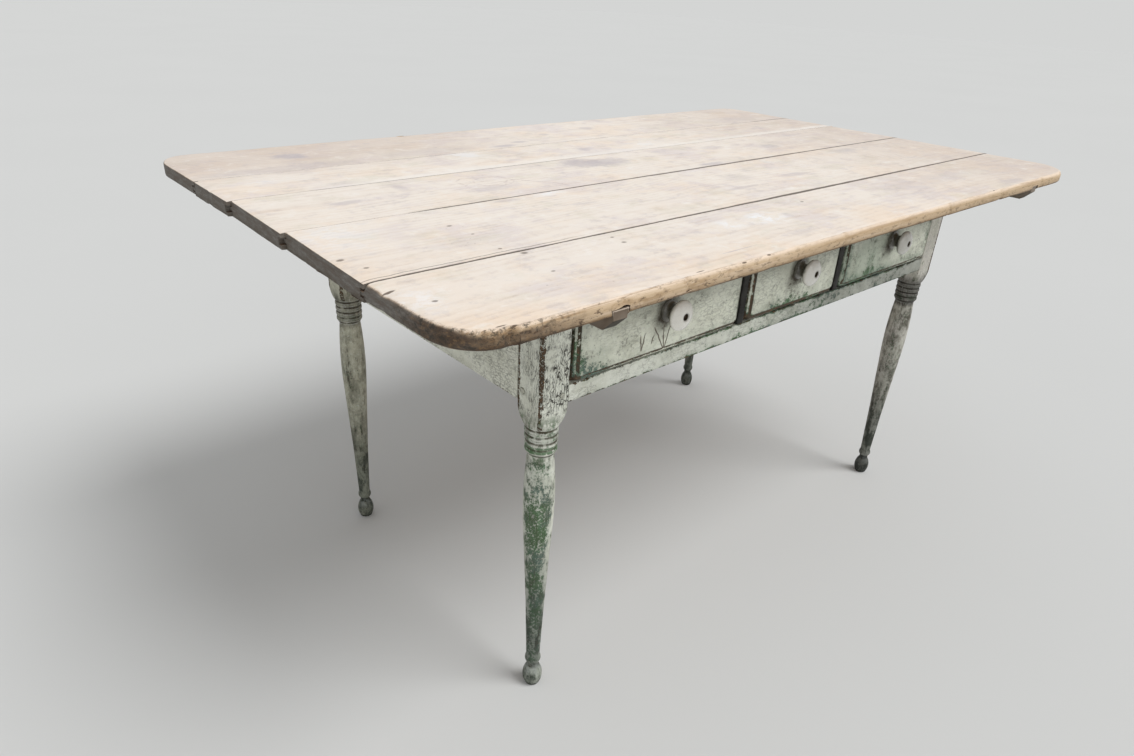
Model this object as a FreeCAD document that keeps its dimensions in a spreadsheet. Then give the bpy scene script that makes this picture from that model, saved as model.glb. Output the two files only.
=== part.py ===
"""A farm kitchen table with three drawers.

Four turned legs carry the aprons, the front rails and the drawer runners.  The five boards of the top
are held flat by two dovetailed battens, and wooden pins through the battens hold the top on the frame.
Each drawer has a moulded front, dovetailed sides, a bevelled bottom and a porcelain knob.

Frame: the origin is on the floor under the middle of the table, +X runs along the table, the drawers
face -Y and +Z is up.  All sizes are in millimetres.
"""

import FreeCAD
import Part
import Sketcher
import operator
import os
from types import SimpleNamespace

SIZES = {
    # the top: five boards side by side, counted from the front edge
    "top_height": 750,          # floor to the face of the top
    "top_thickness": 23,
    "top_length": 1544,
    "board_1_width": 183,
    "board_2_width": 216,
    "board_3_width": 180,
    "board_4_width": 137,
    "board_5_width": 208,
    "board_2_skew": 8,          # how far the back corner of the left end stands behind its front corner
    "board_3_skew": 5,
    "board_3_short": 1,         # how far the whole left end stands back
    "corner_radius": 70,        # the rounded corners of the top, seen from above
    "worn_corner_radius": 92,   # the front right corner
    "front_nosing_top": 9,
    "front_nosing_bottom": 7,
    "back_nosing": 4,
    "board_end_round": 2.5,
    "seam_gap": 1.2,
    "tongue_thickness": 7,
    "tongue_depth": 7,
    "tongue_clearance": 0.3,
    # the two battens under the top
    "batten_width": 21,
    "batten_flare": 2,          # how much wider each side of the dovetail is at its top
    "batten_let_in": 9,
    "batten_drop": 18,          # below the underside of the top
    "batten_end_drop": 2.5,
    "batten_end_taper": 16,
    "batten_gap": 8,            # from the frame to the batten
    "batten_left_inset": 1,     # front end of the left batten, behind the front edge
    "batten_right_inset": 3,
    "batten_back_inset": 14,
    # the pins that hold the top on
    "pin_radius": 5.5,
    "pin_head_radius": 8.5,
    "pin_head_length": 9,
    "pin_spacing": 300,
    "pin_depth": 15,            # into the end apron
    # the legs
    "overhang_end": 223.25,     # from the end of the top to the post
    "overhang_side": 150,
    "post": 50,
    "foot_radius": 12,
    "foot_bulge": 5.6,
    "foot_height": 40,
    "ankle_radius": 9.6,
    "ankle_height": 6,
    "ring_height": 15,
    "ring_bulge": 3,
    "shin_radius": 11.3,
    "calf_height": 180,
    "calf_radius": 15.4,
    "thigh_height": 325,
    "thigh_radius": 22.6,
    "thigh_swell": 2.25,
    "neck_height": 447,
    "neck_radius": 20.1,
    "collar_bottom": 456,
    "collar_top": 497,
    "collar_radius_bottom": 21.8,
    "collar_radius_top": 22.9,
    "collar_cove": 1.2,         # hollow between the neck and the collar
    "bead_rise": 2.1,
    "shoulder_spread": 1.43,    # radius of the shoulder's top, as a share of half the post
    "shoulder_swell": 3.2,
    # the frame
    "rail_bottom": 534.5,       # floor to the underside of the rails and aprons
    "rail_height": 26.5,
    "rail_depth": 48,
    "upper_rail_height": 28,
    "apron_thickness": 22,
    "tenon_thickness": 10,
    "tenon_length": 28,
    "tenon_shoulder": 6,
    "tenon_top_shoulder": 25,
    "rail_tenon_thickness": 10.5,
    "rail_tenon_shoulder": 9,
    "rail_dovetail_length": 20,
    "rail_dovetail_root": 26,
    "rail_dovetail_flare": 4,
    "rail_dovetail_height": 14,
    "peg_radius": 4,
    "peg_length": 20,
    "peg_setback": 11,          # from the inner edge of the post
    "peg_proud": 0.6,
    "peg_clearance": 0.05,
    "low_peg_height": 16.5,     # above the bottom of the apron
    "high_peg_drop": 38,        # below the underside of the top
    "divider_thickness": 16,
    "divider_1_x": -128,
    "divider_2_x": 155,
    "stub_length": 8,
    "stub_thickness": 8,
    "runner_thickness": 20,
    "runner_bearing": 20,       # how far a side runner reaches in under the drawer
    "middle_runner_width": 70,
    "guide_height": 30,
    "kicker_thickness": 18,
    # the drawers
    "drawer_gap_left": 4.2,
    "drawer_gap_right": 2.0,
    "drawer_gap_top": 1.5,
    "drawer_run_gap": 0.5,
    "drawer_back_gap": 0.5,
    "drawer_proud": 4,          # how far the field stands in front of the frame
    "front_thickness": 20,
    "lip_overhang": 1,
    "lip_edge": 1.5,            # square edge of the moulded front
    "lip_round": 7,             # quarter round of the moulding
    "lip_flat": 0.8,
    "field_step": 2.2,          # the raised field above the moulding
    "front_corner_radius": 15,
    "side_thickness": 12,
    "side_height_below_front": 4,
    "tail_length": 9,
    "tail_count": 3,
    "tail_share": 0.52,         # root of a tail, as a share of its pitch
    "tail_flare": 1.8,
    "drawer_back_thickness": 12,
    "drawer_back_setback": 14,
    "drawer_back_drop": 4,
    "dado_depth": 4,
    "bottom_thickness": 9,
    "groove_width": 5,
    "groove_depth": 5,
    "groove_height": 8,
    "bevel_width": 25,
    "bottom_clearance": 0.4,
    # the porcelain knobs
    "knob_length": 34,
    "knob_radius": 21,
    "knob_rim_swell": 2,
    "knob_flange_radius": 16.8,
    "knob_flange_thickness": 3,
    "knob_flange_cove": 2,      # hollow from the flange to the neck
    "knob_neck_radius": 11.5,
    "knob_neck_height": 12,
    "knob_cup_cove": 2.5,       # hollow from the neck to the rim
    "knob_rim_bottom": 20.5,
    "knob_rim_top": 28.5,
    "knob_crown": 1.6,
    "knob_dimple_radius": 4.8,
    "knob_dimple_edge": 1,
    "knob_dimple_depth": 6,
    "bolt_radius": 2.3,
    "bolt_clearance": 0.3,
    "bolt_head_thickness": 2.5,
    "bolt_head_clearance": 0.5,
    "bolt_head_crown": 0.3,
    "bolt_slot": 1,
    "bolt_end": 3,
    "nut_width": 10,
    "nut_thickness": 4,
}

QUARTER_RISE = 1 - 0.5 ** 0.5   # rise of a quarter circle above its chord, for a radius of 1
OVERCUT = 5                     # how far a cutting shape reaches past the face it cuts
BEADS = (1, 2, 3, 4)            # the beads of a leg's collar, from below
OPERATIONS = {"+": operator.add, "-": operator.sub, "*": operator.mul, "/": operator.truediv}


class Size:
    """A length with both its number and the spreadsheet formula that it comes from."""

    def __init__(self, value, formula=None):
        self.value = float(value)
        self.formula = formula or f"{float(value):.9g}"

    def __add__(self, other):
        return combine("+", self, other)

    def __radd__(self, other):
        return combine("+", other, self)

    def __sub__(self, other):
        return combine("-", self, other)

    def __rsub__(self, other):
        return combine("-", other, self)

    def __mul__(self, other):
        return combine("*", self, other)

    def __rmul__(self, other):
        return combine("*", other, self)

    def __truediv__(self, other):
        return combine("/", self, other)

    def __neg__(self):
        return combine("-", 0, self)


def as_size(length):
    return length if isinstance(length, Size) else Size(length)


def combine(sign, left, right):
    left, right = as_size(left), as_size(right)
    value = OPERATIONS[sign](left.value, right.value)
    return Size(value, f"({left.formula} {sign} {right.formula})")


def make_sheet():
    sheet = doc.addObject("Spreadsheet::Sheet", "Sizes")
    for row, (name, value) in enumerate(SIZES.items(), start=1):
        sheet.set(f"A{row}", name)
        sheet.set(f"B{row}", str(value))
        sheet.setAlias(f"B{row}", name)
    doc.recompute()
    return SimpleNamespace(**{name: Size(value, f"Sizes.{name}") for name, value in SIZES.items()})


def bind(item, name, length):
    item.setExpression(name, as_size(length).formula)


def move(item, x, y, z, rotation=None):
    if rotation is not None:
        item.Placement = FreeCAD.Placement(FreeCAD.Vector(), rotation)
    for axis, length in zip("xyz", (x, y, z)):
        bind(item, f"Placement.Base.{axis}", length)


def new_body(label):
    body = doc.addObject("PartDesign::Body", label)
    body.Label = label
    return body


def attach(item, body, role, offset):
    """Attach a sketch or a primitive to an origin plane, with its offset bound to the sheet."""
    plane = [feature for feature in body.Origin.OriginFeatures if feature.Role == role][0]
    item.AttachmentSupport = [(plane, "")]
    item.MapMode = "FlatFace"
    for axis, length in zip("xyz", offset):
        bind(item, f"AttachmentOffset.Base.{axis}", length)


def block(body, kind, name, xs, ys, zs):
    """Add or cut a block that spans three (low, high) pairs; kind is Additive or Subtractive."""
    item = body.newObject(f"PartDesign::{kind}Box", name)
    attach(item, body, "XY_Plane", (xs[0], ys[0], zs[0]))
    for side, (low, high) in zip(("Length", "Width", "Height"), (xs, ys, zs)):
        bind(item, side, as_size(high) - low)
    return item


def bore(body, name, axis, centre, span, radius):
    """Cut a round hole along an axis; centre is the other two coordinates, span is (low, high)."""
    role = {"x": "YZ_Plane", "y": "XZ_Plane", "z": "XY_Plane"}[axis]
    low, high = as_size(span[0]), as_size(span[1])
    start = -high if axis == "y" else low
    item = body.newObject("PartDesign::SubtractiveCylinder", name)
    attach(item, body, role, (centre[0], centre[1], start))
    bind(item, "Radius", radius)
    bind(item, "Height", high - low)
    return item


class Outline:
    """A closed outline of lines and arcs for a sketch, point by point."""

    def __init__(self, x, y):
        self.points = [(as_size(x), as_size(y))]
        self.rises = []

    def line(self, x, y):
        self.points.append((as_size(x), as_size(y)))
        self.rises.append(None)
        return self

    def arc(self, x, y, rise):
        """An arc that bulges by rise to the right of the way it is drawn."""
        self.points.append((as_size(x), as_size(y)))
        self.rises.append(as_size(rise))
        return self

    def close(self):
        self.points.append(self.points[0])
        self.rises.append(None)
        return self


def edge_of(start, end, rise):
    """The edge between two points, and its radius where it is an arc."""
    first, last = (FreeCAD.Vector(x.value, y.value, 0) for x, y in (start, end))
    if rise is None:
        return Part.LineSegment(first, last), None
    chord = last - first
    normal = FreeCAD.Vector(chord.y, -chord.x, 0).normalize()
    middle = (first + last) * 0.5 + normal * rise.value
    size = rise if rise.value > 0 else -rise
    dx, dy = end[0] - start[0], end[1] - start[1]
    radius = ((dx * dx + dy * dy) / 4 + size * size) / (2 * size)
    corners = (first, middle, last) if rise.value > 0 else (last, middle, first)
    return Part.Arc(*corners), radius


def draw(body, name, role, offset, outline):
    """A sketch of an outline whose points and radii are bound to the sheet."""
    sketch = body.newObject("Sketcher::SketchObject", name)
    attach(sketch, body, role, offset)
    count = len(outline.rises)
    ends = []
    limits = []
    for index in range(count):
        start, end = outline.points[index], outline.points[index + 1]
        rise = outline.rises[index]
        edge, radius = edge_of(start, end, rise)
        sketch.addGeometry(edge, False)
        ends.append((1, 2) if rise is None or rise.value > 0 else (2, 1))
        limits.append(("DistanceX", (-1, 1, index, ends[index][0]), start[0]))
        limits.append(("DistanceY", (-1, 1, index, ends[index][0]), start[1]))
        if radius is not None:
            limits.append(("Radius", (index,), radius))
    for index in range(count):
        after = (index + 1) % count
        sketch.addConstraint(Sketcher.Constraint("Coincident", index, ends[index][1], after, ends[after][0]))
    for kind, geometry, length in limits:
        number = sketch.addConstraint(Sketcher.Constraint(kind, *geometry, length.value))
        bind(sketch, f"Constraints[{number}]", length)
    return sketch


def pad(body, name, sketch, length, reverse=False):
    item = body.newObject("PartDesign::Pad", name)
    item.Profile = sketch
    item.Reversed = reverse
    bind(item, "Length", length)
    return item


def pocket(body, name, sketch, length, reverse=False, middle=False):
    item = body.newObject("PartDesign::Pocket", name)
    item.Profile = sketch
    item.Reversed = reverse
    item.Midplane = middle
    bind(item, "Length", length)
    return item


def turn(body, kind, name, sketch):
    """A Revolution or a Groove right round the sketch's upright axis."""
    item = body.newObject(f"PartDesign::{kind}", name)
    item.Profile = sketch
    item.ReferenceAxis = (sketch, ["V_Axis"])
    item.Angle = 360
    return item


def repeat(body, name, feature, sketch, axis, pitch, count):
    item = body.newObject("PartDesign::LinearPattern", name)
    item.Originals = [feature]
    item.Direction = (sketch, [axis])
    item.Mode = "Spacing"
    bind(item, "Offset", pitch)
    bind(item, "Occurrences", count)
    body.Tip = item
    return item


def round_edges(body, name, base, radius, chosen):
    """Fillet the edges of a feature for which chosen(edge) is true."""
    doc.recompute()
    names = [f"Edge{number}" for number, edge in enumerate(base.Shape.Edges, start=1) if chosen(edge)]
    item = body.newObject("PartDesign::Fillet", name)
    item.Base = (base, names)
    bind(item, "Radius", radius)
    return item


def flat_at(edge, height):
    """True for an edge that lies level at this height."""
    return all(abs(corner.Z - height) < 1e-4 for corner in edge.Vertexes)


def mirrored(side, low, high):
    """The span from low to high, measured outwards from the middle on one side, +1 or -1."""
    return (as_size(low), as_size(high)) if side > 0 else (-as_size(high), -as_size(low))


doc = FreeCAD.newDocument("kitchen_table")
S = make_sheet()

# ---- places that several pieces share -------------------------------------------------------------
UNDERSIDE = S.top_height - S.top_thickness
TOP_WIDTH = S.board_1_width + S.board_2_width + S.board_3_width + S.board_4_width + S.board_5_width
HALF_POST = S.post / 2
OUTER_X = S.top_length / 2 - S.overhang_end
OUTER_Y = TOP_WIDTH / 2 - S.overhang_side
LEG_X = OUTER_X - HALF_POST
LEG_Y = OUTER_Y - HALF_POST
INNER_X = OUTER_X - S.post
INNER_Y = OUTER_Y - S.post
RAIL_TOP = S.rail_bottom + S.rail_height
UPPER_RAIL_BOTTOM = UNDERSIDE - S.upper_rail_height
RAIL_BACK = S.rail_depth - OUTER_Y
APRON_FRONT = OUTER_Y - S.apron_thickness
TENON_SETBACK = (S.apron_thickness - S.tenon_thickness) / 2
TENON_SPAN = (S.rail_bottom + S.tenon_shoulder, UNDERSIDE - S.tenon_top_shoulder)
RAIL_TENON_LOW = S.rail_bottom + (S.rail_height - S.rail_tenon_thickness) / 2
RAIL_TENON_SPAN = (RAIL_TENON_LOW, RAIL_TENON_LOW + S.rail_tenon_thickness)
RAIL_PEG_HEIGHT = S.rail_bottom + S.rail_height / 2
PEG_HEIGHTS = (S.rail_bottom + S.low_peg_height, UNDERSIDE - S.high_peg_drop)
PEG_HOLE = S.peg_radius + S.peg_clearance
DOVETAIL_SPAN = (UNDERSIDE - S.rail_dovetail_height, UNDERSIDE)
BATTEN_X = OUTER_X + S.batten_gap + S.batten_width / 2
PIN_HEIGHT = UNDERSIDE - S.batten_drop / 2
BATTEN_SIDES = (("left", -1), ("right", 1))


# ---- the legs -------------------------------------------------------------------------------------
def leg_waste():
    """Half section of the wood that the lathe takes off a square blank, from the floor up."""
    clear = S.post
    ring_bottom = S.foot_height + S.ankle_height
    ring_top = ring_bottom + S.ring_height
    waste = Outline(S.foot_radius, -OVERCUT)
    waste.line(S.foot_radius, 0)
    waste.arc(S.ankle_radius, S.foot_height, S.foot_bulge)
    waste.line(S.ankle_radius, ring_bottom)
    waste.arc(S.shin_radius, ring_top, S.ring_bulge)
    waste.line(S.calf_radius, S.calf_height)
    waste.line(S.thigh_radius, S.thigh_height)
    waste.arc(S.neck_radius, S.neck_height, S.thigh_swell)
    waste.arc(S.collar_radius_bottom, S.collar_bottom, -S.collar_cove)
    pitch = (S.collar_top - S.collar_bottom) / len(BEADS)
    swell = (S.collar_radius_top - S.collar_radius_bottom) / len(BEADS)
    for bead in BEADS:
        waste.arc(S.collar_radius_bottom + swell * bead, S.collar_bottom + pitch * bead, S.bead_rise)
    waste.arc(HALF_POST * S.shoulder_spread, S.rail_bottom, S.shoulder_swell)
    waste.line(clear, S.rail_bottom)
    waste.line(clear, -OVERCUT)
    return waste.close()


def rail_dovetail(side):
    """Plan of the dovetail on one end of the upper rail, from the post's axis; side is +1 or -1."""
    middle = S.rail_depth / 2 - HALF_POST
    root = S.rail_dovetail_root / 2
    end = root + S.rail_dovetail_flare
    near, far = -side * HALF_POST, -side * (HALF_POST - S.rail_dovetail_length)
    points = [(near, middle - root), (far, middle - end), (far, middle + end), (near, middle + root)]
    shape = Outline(*points[0])
    for x, y in points[1:]:
        shape.line(x, y)
    return shape.close()


def make_leg(label, side, face):
    """A leg; side is +1 on the right, face is +1 at the back."""
    leg = new_body(label)
    block(leg, "Additive", "blank", (-HALF_POST, HALF_POST), (-HALF_POST, HALF_POST), (0, UNDERSIDE))
    turn(leg, "Groove", "turning", draw(leg, "lathe_profile", "XZ_Plane", (0, 0, 0), leg_waste()))
    deep = HALF_POST - S.tenon_length
    cheek = (HALF_POST - TENON_SETBACK - S.tenon_thickness, HALF_POST - TENON_SETBACK)
    block(leg, "Subtractive", "end_mortise", mirrored(side, *cheek),
          mirrored(-face, deep, HALF_POST), TENON_SPAN)
    peg = HALF_POST - S.peg_setback
    low = HALF_POST - S.peg_length
    for height in PEG_HEIGHTS:
        bore(leg, "peg_hole", "x", (-face * peg, height), mirrored(side, low, HALF_POST + OVERCUT), PEG_HOLE)
    if face > 0:
        block(leg, "Subtractive", "back_mortise", mirrored(-side, deep, HALF_POST), cheek, TENON_SPAN)
        for height in PEG_HEIGHTS:
            bore(leg, "peg_hole", "y", (-side * peg, height), (low, HALF_POST + OVERCUT), PEG_HOLE)
    else:
        rail_cheek = (S.rail_tenon_shoulder - HALF_POST, S.rail_depth - S.rail_tenon_shoulder - HALF_POST)
        block(leg, "Subtractive", "rail_mortise", mirrored(-side, deep, HALF_POST),
              rail_cheek, RAIL_TENON_SPAN)
        bore(leg, "peg_hole", "y", (-side * peg, RAIL_PEG_HEIGHT), (-HALF_POST - OVERCUT, -low), PEG_HOLE)
        socket = draw(leg, "socket_plan", "XY_Plane", (0, 0, DOVETAIL_SPAN[0]), rail_dovetail(side))
        pocket(leg, "rail_socket", socket, S.rail_dovetail_height + OVERCUT, reverse=True)
    move(leg, side * LEG_X, face * LEG_Y, 0)


# ---- aprons and rails -----------------------------------------------------------------------------
def make_end_apron(label, side):
    apron = new_body(label)
    thick = mirrored(side, OUTER_X - S.apron_thickness, OUTER_X)
    block(apron, "Additive", "board", thick, (-INNER_Y, INNER_Y), (S.rail_bottom, UNDERSIDE))
    cheek = mirrored(side, OUTER_X - TENON_SETBACK - S.tenon_thickness, OUTER_X - TENON_SETBACK)
    reach = INNER_Y + S.tenon_length
    block(apron, "Additive", "tenons", cheek, (-reach, reach), TENON_SPAN)
    for end in (-1, 1):
        for height in PEG_HEIGHTS:
            bore(apron, "peg_hole", "x", (end * (INNER_Y + S.peg_setback), height), thick, PEG_HOLE)
        bore(apron, "pin_hole", "x", (end * S.pin_spacing / 2, PIN_HEIGHT),
             mirrored(side, OUTER_X - S.pin_depth, OUTER_X + OVERCUT), S.pin_radius + S.peg_clearance)


def stub_height(bottom, thickness):
    """Where the stub tenon of a runner or kicker starts and ends, upwards."""
    low = bottom + (thickness - S.stub_thickness) / 2
    return (low, low + S.stub_thickness)


RUNNER_BOTTOM = RAIL_TOP - S.runner_thickness
RUNNER_STUB = stub_height(RUNNER_BOTTOM, S.runner_thickness)
KICKER_STUB = stub_height(UPPER_RAIL_BOTTOM, S.kicker_thickness)
MIDDLE_HALF = S.middle_runner_width / 2
BEARER_SPANS = {
    "left": (-INNER_X, S.runner_bearing - INNER_X),
    "middle_1": (S.divider_1_x - MIDDLE_HALF, S.divider_1_x + MIDDLE_HALF),
    "middle_2": (S.divider_2_x - MIDDLE_HALF, S.divider_2_x + MIDDLE_HALF),
    "right": (INNER_X - S.runner_bearing, INNER_X),
}


def make_back_apron():
    apron = new_body("back_apron")
    block(apron, "Additive", "board", (-INNER_X, INNER_X), (APRON_FRONT, OUTER_Y), (S.rail_bottom, UNDERSIDE))
    reach = INNER_X + S.tenon_length
    cheek = (OUTER_Y - TENON_SETBACK - S.tenon_thickness, OUTER_Y - TENON_SETBACK)
    block(apron, "Additive", "tenons", (-reach, reach), cheek, TENON_SPAN)
    for end in (-1, 1):
        for height in PEG_HEIGHTS:
            bore(apron, "peg_hole", "y", (end * (INNER_X + S.peg_setback), height),
                 (APRON_FRONT, OUTER_Y), PEG_HOLE)
    for span in BEARER_SPANS.values():
        for stub in (RUNNER_STUB, KICKER_STUB):
            block(apron, "Subtractive", "stub_slot", span, (APRON_FRONT, APRON_FRONT + S.stub_length), stub)


def divider_stub(divider_x):
    """Plan of a divider's stub tenon: its (x, y) spans."""
    half = S.stub_thickness / 2
    depth = (S.rail_tenon_shoulder - OUTER_Y, RAIL_BACK - S.rail_tenon_shoulder)
    return (divider_x - half, divider_x + half), depth


def make_lower_rail():
    rail = new_body("front_rail_lower")
    block(rail, "Additive", "rail", (-INNER_X, INNER_X), (-OUTER_Y, RAIL_BACK), (S.rail_bottom, RAIL_TOP))
    reach = INNER_X + S.tenon_length
    block(rail, "Additive", "tenons", (-reach, reach),
          (S.rail_tenon_shoulder - OUTER_Y, RAIL_BACK - S.rail_tenon_shoulder), RAIL_TENON_SPAN)
    for end in (-1, 1):
        bore(rail, "peg_hole", "y", (end * (INNER_X + S.peg_setback), RAIL_PEG_HEIGHT),
             (-OUTER_Y, S.peg_length - OUTER_Y), PEG_HOLE)
    for divider_x in (S.divider_1_x, S.divider_2_x):
        block(rail, "Subtractive", "divider_slot", *divider_stub(divider_x),
              (RAIL_TOP - S.stub_length, RAIL_TOP))
    for span in BEARER_SPANS.values():
        block(rail, "Subtractive", "stub_slot", span, (RAIL_BACK - S.stub_length, RAIL_BACK), RUNNER_STUB)


def make_upper_rail():
    rail = new_body("front_rail_upper")
    block(rail, "Additive", "rail", (-INNER_X, INNER_X), (-OUTER_Y, RAIL_BACK), (UPPER_RAIL_BOTTOM, UNDERSIDE))
    for side in (-1, 1):
        plan = draw(rail, "dovetail_plan", "XY_Plane",
                    (side * LEG_X, -LEG_Y, DOVETAIL_SPAN[0]), rail_dovetail(side))
        pad(rail, "dovetail", plan, S.rail_dovetail_height)
    for divider_x in (S.divider_1_x, S.divider_2_x):
        block(rail, "Subtractive", "divider_slot", *divider_stub(divider_x),
              (UPPER_RAIL_BOTTOM, UPPER_RAIL_BOTTOM + S.stub_length))
    for span in BEARER_SPANS.values():
        block(rail, "Subtractive", "stub_slot", span, (RAIL_BACK - S.stub_length, RAIL_BACK), KICKER_STUB)


def make_divider(label, centre):
    divider = new_body(label)
    half = S.divider_thickness / 2
    block(divider, "Additive", "post", (centre - half, centre + half), (-OUTER_Y, RAIL_BACK),
          (RAIL_TOP, UPPER_RAIL_BOTTOM))
    block(divider, "Additive", "stubs", *divider_stub(centre),
          (RAIL_TOP - S.stub_length, UPPER_RAIL_BOTTOM + S.stub_length))


# ---- runners, guides and kickers ------------------------------------------------------------------
def make_bearer(label, place, bottom, thickness, stub):
    """A runner under the drawers or a kicker above them, from the front rail to the back apron."""
    bearer = new_body(label)
    span = BEARER_SPANS[place]
    height = (bottom, bottom + thickness)
    block(bearer, "Additive", "bar", span, (RAIL_BACK, APRON_FRONT), height)
    block(bearer, "Additive", "stubs", span, (RAIL_BACK - S.stub_length, APRON_FRONT + S.stub_length), stub)
    if place in ("left", "right"):
        side = -1 if place == "left" else 1
        block(bearer, "Additive", "ledge", mirrored(side, INNER_X, OUTER_X - S.apron_thickness),
              (-INNER_Y, INNER_Y), height)


def make_guides():
    """Strips on the runners that keep each drawer straight."""
    height = (RAIL_TOP, RAIL_TOP + S.guide_height)
    for place, side in (("left", -1), ("right", 1)):
        guide = new_body(f"drawer_guide_{place}")
        block(guide, "Additive", "strip", mirrored(side, INNER_X, OUTER_X - S.apron_thickness),
              (-INNER_Y, INNER_Y), height)
    half = S.divider_thickness / 2
    for number, centre in ((1, S.divider_1_x), (2, S.divider_2_x)):
        guide = new_body(f"drawer_guide_middle_{number}")
        block(guide, "Additive", "strip", (centre - half, centre + half), (RAIL_BACK, APRON_FRONT), height)


# ---- the top --------------------------------------------------------------------------------------
def board_outline(width, length, skew, round_front, round_back):
    """Plan of a board from its left front corner; the rounds are (left, right) radii or None."""
    left_front, right_front = round_front or (None, None)
    left_back, right_back = round_back or (None, None)
    if round_front:
        plan = Outline(left_front, 0).line(length - right_front, 0)
        plan.arc(length, right_front, QUARTER_RISE * right_front)
    else:
        plan = Outline(0, 0).line(length, 0)
    if round_back:
        plan.line(length, width - right_back)
        plan.arc(length - right_back, width, QUARTER_RISE * right_back)
        plan.line(left_back, width)
        plan.arc(0, width - left_back, QUARTER_RISE * left_back)
    else:
        plan.line(length, width).line(skew, width)
    if round_front:
        plan.line(0, left_front)
        plan.arc(left_front, 0, QUARTER_RISE * left_front)
        return plan
    return plan.close()


def batten_section(grow):
    """Section of the dovetail from the underside up, and straight down by grow."""
    half = S.batten_width / 2
    wide = half + S.batten_flare
    section = Outline(-half, -grow).line(half, -grow).line(half, 0)
    return section.line(wide, S.batten_let_in).line(-wide, S.batten_let_in).line(-half, 0).close()


def make_board(number, width, front, short=0, skew=0, first=False, last=False):
    """One board of the top; short and skew say how far its left end stands back, as a whole and at an angle."""
    board = new_body(f"top_board_{number}")
    length = S.top_length - short
    low = as_size(0) if first else S.seam_gap / 2
    high = width if last else width - S.seam_gap / 2
    body_width = high - low
    rounds = (S.corner_radius, S.worn_corner_radius)
    plan = board_outline(body_width, length, skew, rounds if first else None,
                         (S.corner_radius, S.corner_radius) if last else None)
    shape = pad(board, "board", draw(board, "plan", "XY_Plane", (0, low, 0), plan), S.top_thickness)
    top = S.top_thickness.value

    def outer(edge, height):
        """True for a level edge that isn't at a seam with the next board."""
        place = edge.BoundBox.Center.y
        at_front_seam = not first and place < low.value + 0.01
        at_back_seam = not last and place > high.value - 0.01
        return flat_at(edge, height) and not at_front_seam and not at_back_seam

    if first:
        shape = round_edges(board, "nosing_top", shape, S.front_nosing_top, lambda edge: outer(edge, top))
        round_edges(board, "nosing_bottom", shape, S.front_nosing_bottom, lambda edge: outer(edge, 0))
    elif last:
        shape = round_edges(board, "nosing_top", shape, S.back_nosing, lambda edge: outer(edge, top))
        round_edges(board, "nosing_bottom", shape, S.back_nosing, lambda edge: outer(edge, 0))
    else:
        round_edges(board, "end_round", shape, S.board_end_round, lambda edge: outer(edge, top))
    middle = S.top_thickness / 2
    tongue = (middle - S.tongue_thickness / 2, middle + S.tongue_thickness / 2)
    slot = (tongue[0] - S.tongue_clearance, tongue[1] + S.tongue_clearance)
    if not last:
        block(board, "Additive", "tongue", (skew, length), (high - 1, width + S.tongue_depth), tongue)
    if not first:
        block(board, "Subtractive", "groove", (-OVERCUT, length + OVERCUT),
              (low - OVERCUT, S.tongue_depth + S.tongue_clearance), slot)
    left = short - S.top_length / 2
    for place, side in BATTEN_SIDES:
        section = draw(board, f"socket_{place}", "XZ_Plane",
                       (side * BATTEN_X - left, 0, OVERCUT), batten_section(OVERCUT))
        pocket(board, f"batten_socket_{place}", section, width + S.tongue_depth + 2 * OVERCUT)
    move(board, left, front, UNDERSIDE)


def make_top():
    front = -TOP_WIDTH / 2
    boards = ((S.board_1_width, 0, 0), (S.board_2_width, 0, S.board_2_skew),
              (S.board_3_width, S.board_3_short, S.board_3_skew), (S.board_4_width, 0, 0),
              (S.board_5_width, 0, 0))
    for number, (width, short, skew) in enumerate(boards, start=1):
        make_board(number, width, front, short, skew, first=number == 1, last=number == len(boards))
        front = front + width


def make_batten(place, side, front_inset):
    batten = new_body(f"top_batten_{place}")
    length = TOP_WIDTH - front_inset - S.batten_back_inset
    section = draw(batten, "section", "XZ_Plane", (0, 0, 0), batten_section(S.batten_drop))
    pad(batten, "bar", section, length, reverse=True)
    for name, end, inwards in (("front", as_size(0), 1), ("back", length, -1)):
        taper = Outline(end, -S.batten_end_drop).line(end + inwards * S.batten_end_taper, -S.batten_drop)
        taper.line(end + inwards * S.batten_end_taper, -S.batten_drop - OVERCUT)
        taper.line(end - inwards * OVERCUT, -S.batten_drop - OVERCUT)
        taper.line(end - inwards * OVERCUT, -S.batten_end_drop)
        pocket(batten, f"taper_{name}", draw(batten, f"{name}_end", "YZ_Plane", (0, 0, 0), taper.close()),
               2 * S.batten_width, middle=True)
    front = front_inset - TOP_WIDTH / 2
    for end in (-1, 1):
        bore(batten, "pin_hole", "x", (end * S.pin_spacing / 2 - front, PIN_HEIGHT - UNDERSIDE),
             (-S.batten_width, S.batten_width), S.pin_radius + S.peg_clearance)
    move(batten, side * BATTEN_X, front, UNDERSIDE)


# ---- pegs and pins --------------------------------------------------------------------------------
TOWARDS = {
    "+x": FreeCAD.Rotation(FreeCAD.Vector(0, 1, 0), 90),
    "-x": FreeCAD.Rotation(FreeCAD.Vector(0, 1, 0), -90),
    "+y": FreeCAD.Rotation(FreeCAD.Vector(1, 0, 0), -90),
    "-y": FreeCAD.Rotation(FreeCAD.Vector(1, 0, 0), 90),
}


def rod(name, start, way, length, radius):
    item = doc.addObject("Part::Cylinder", name)
    bind(item, "Radius", radius)
    bind(item, "Height", length)
    move(item, *start, TOWARDS[way])
    return item


def group(label, items):
    compound = doc.addObject("Part::Compound", label)
    compound.Label = label
    compound.Links = items
    return compound


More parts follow.
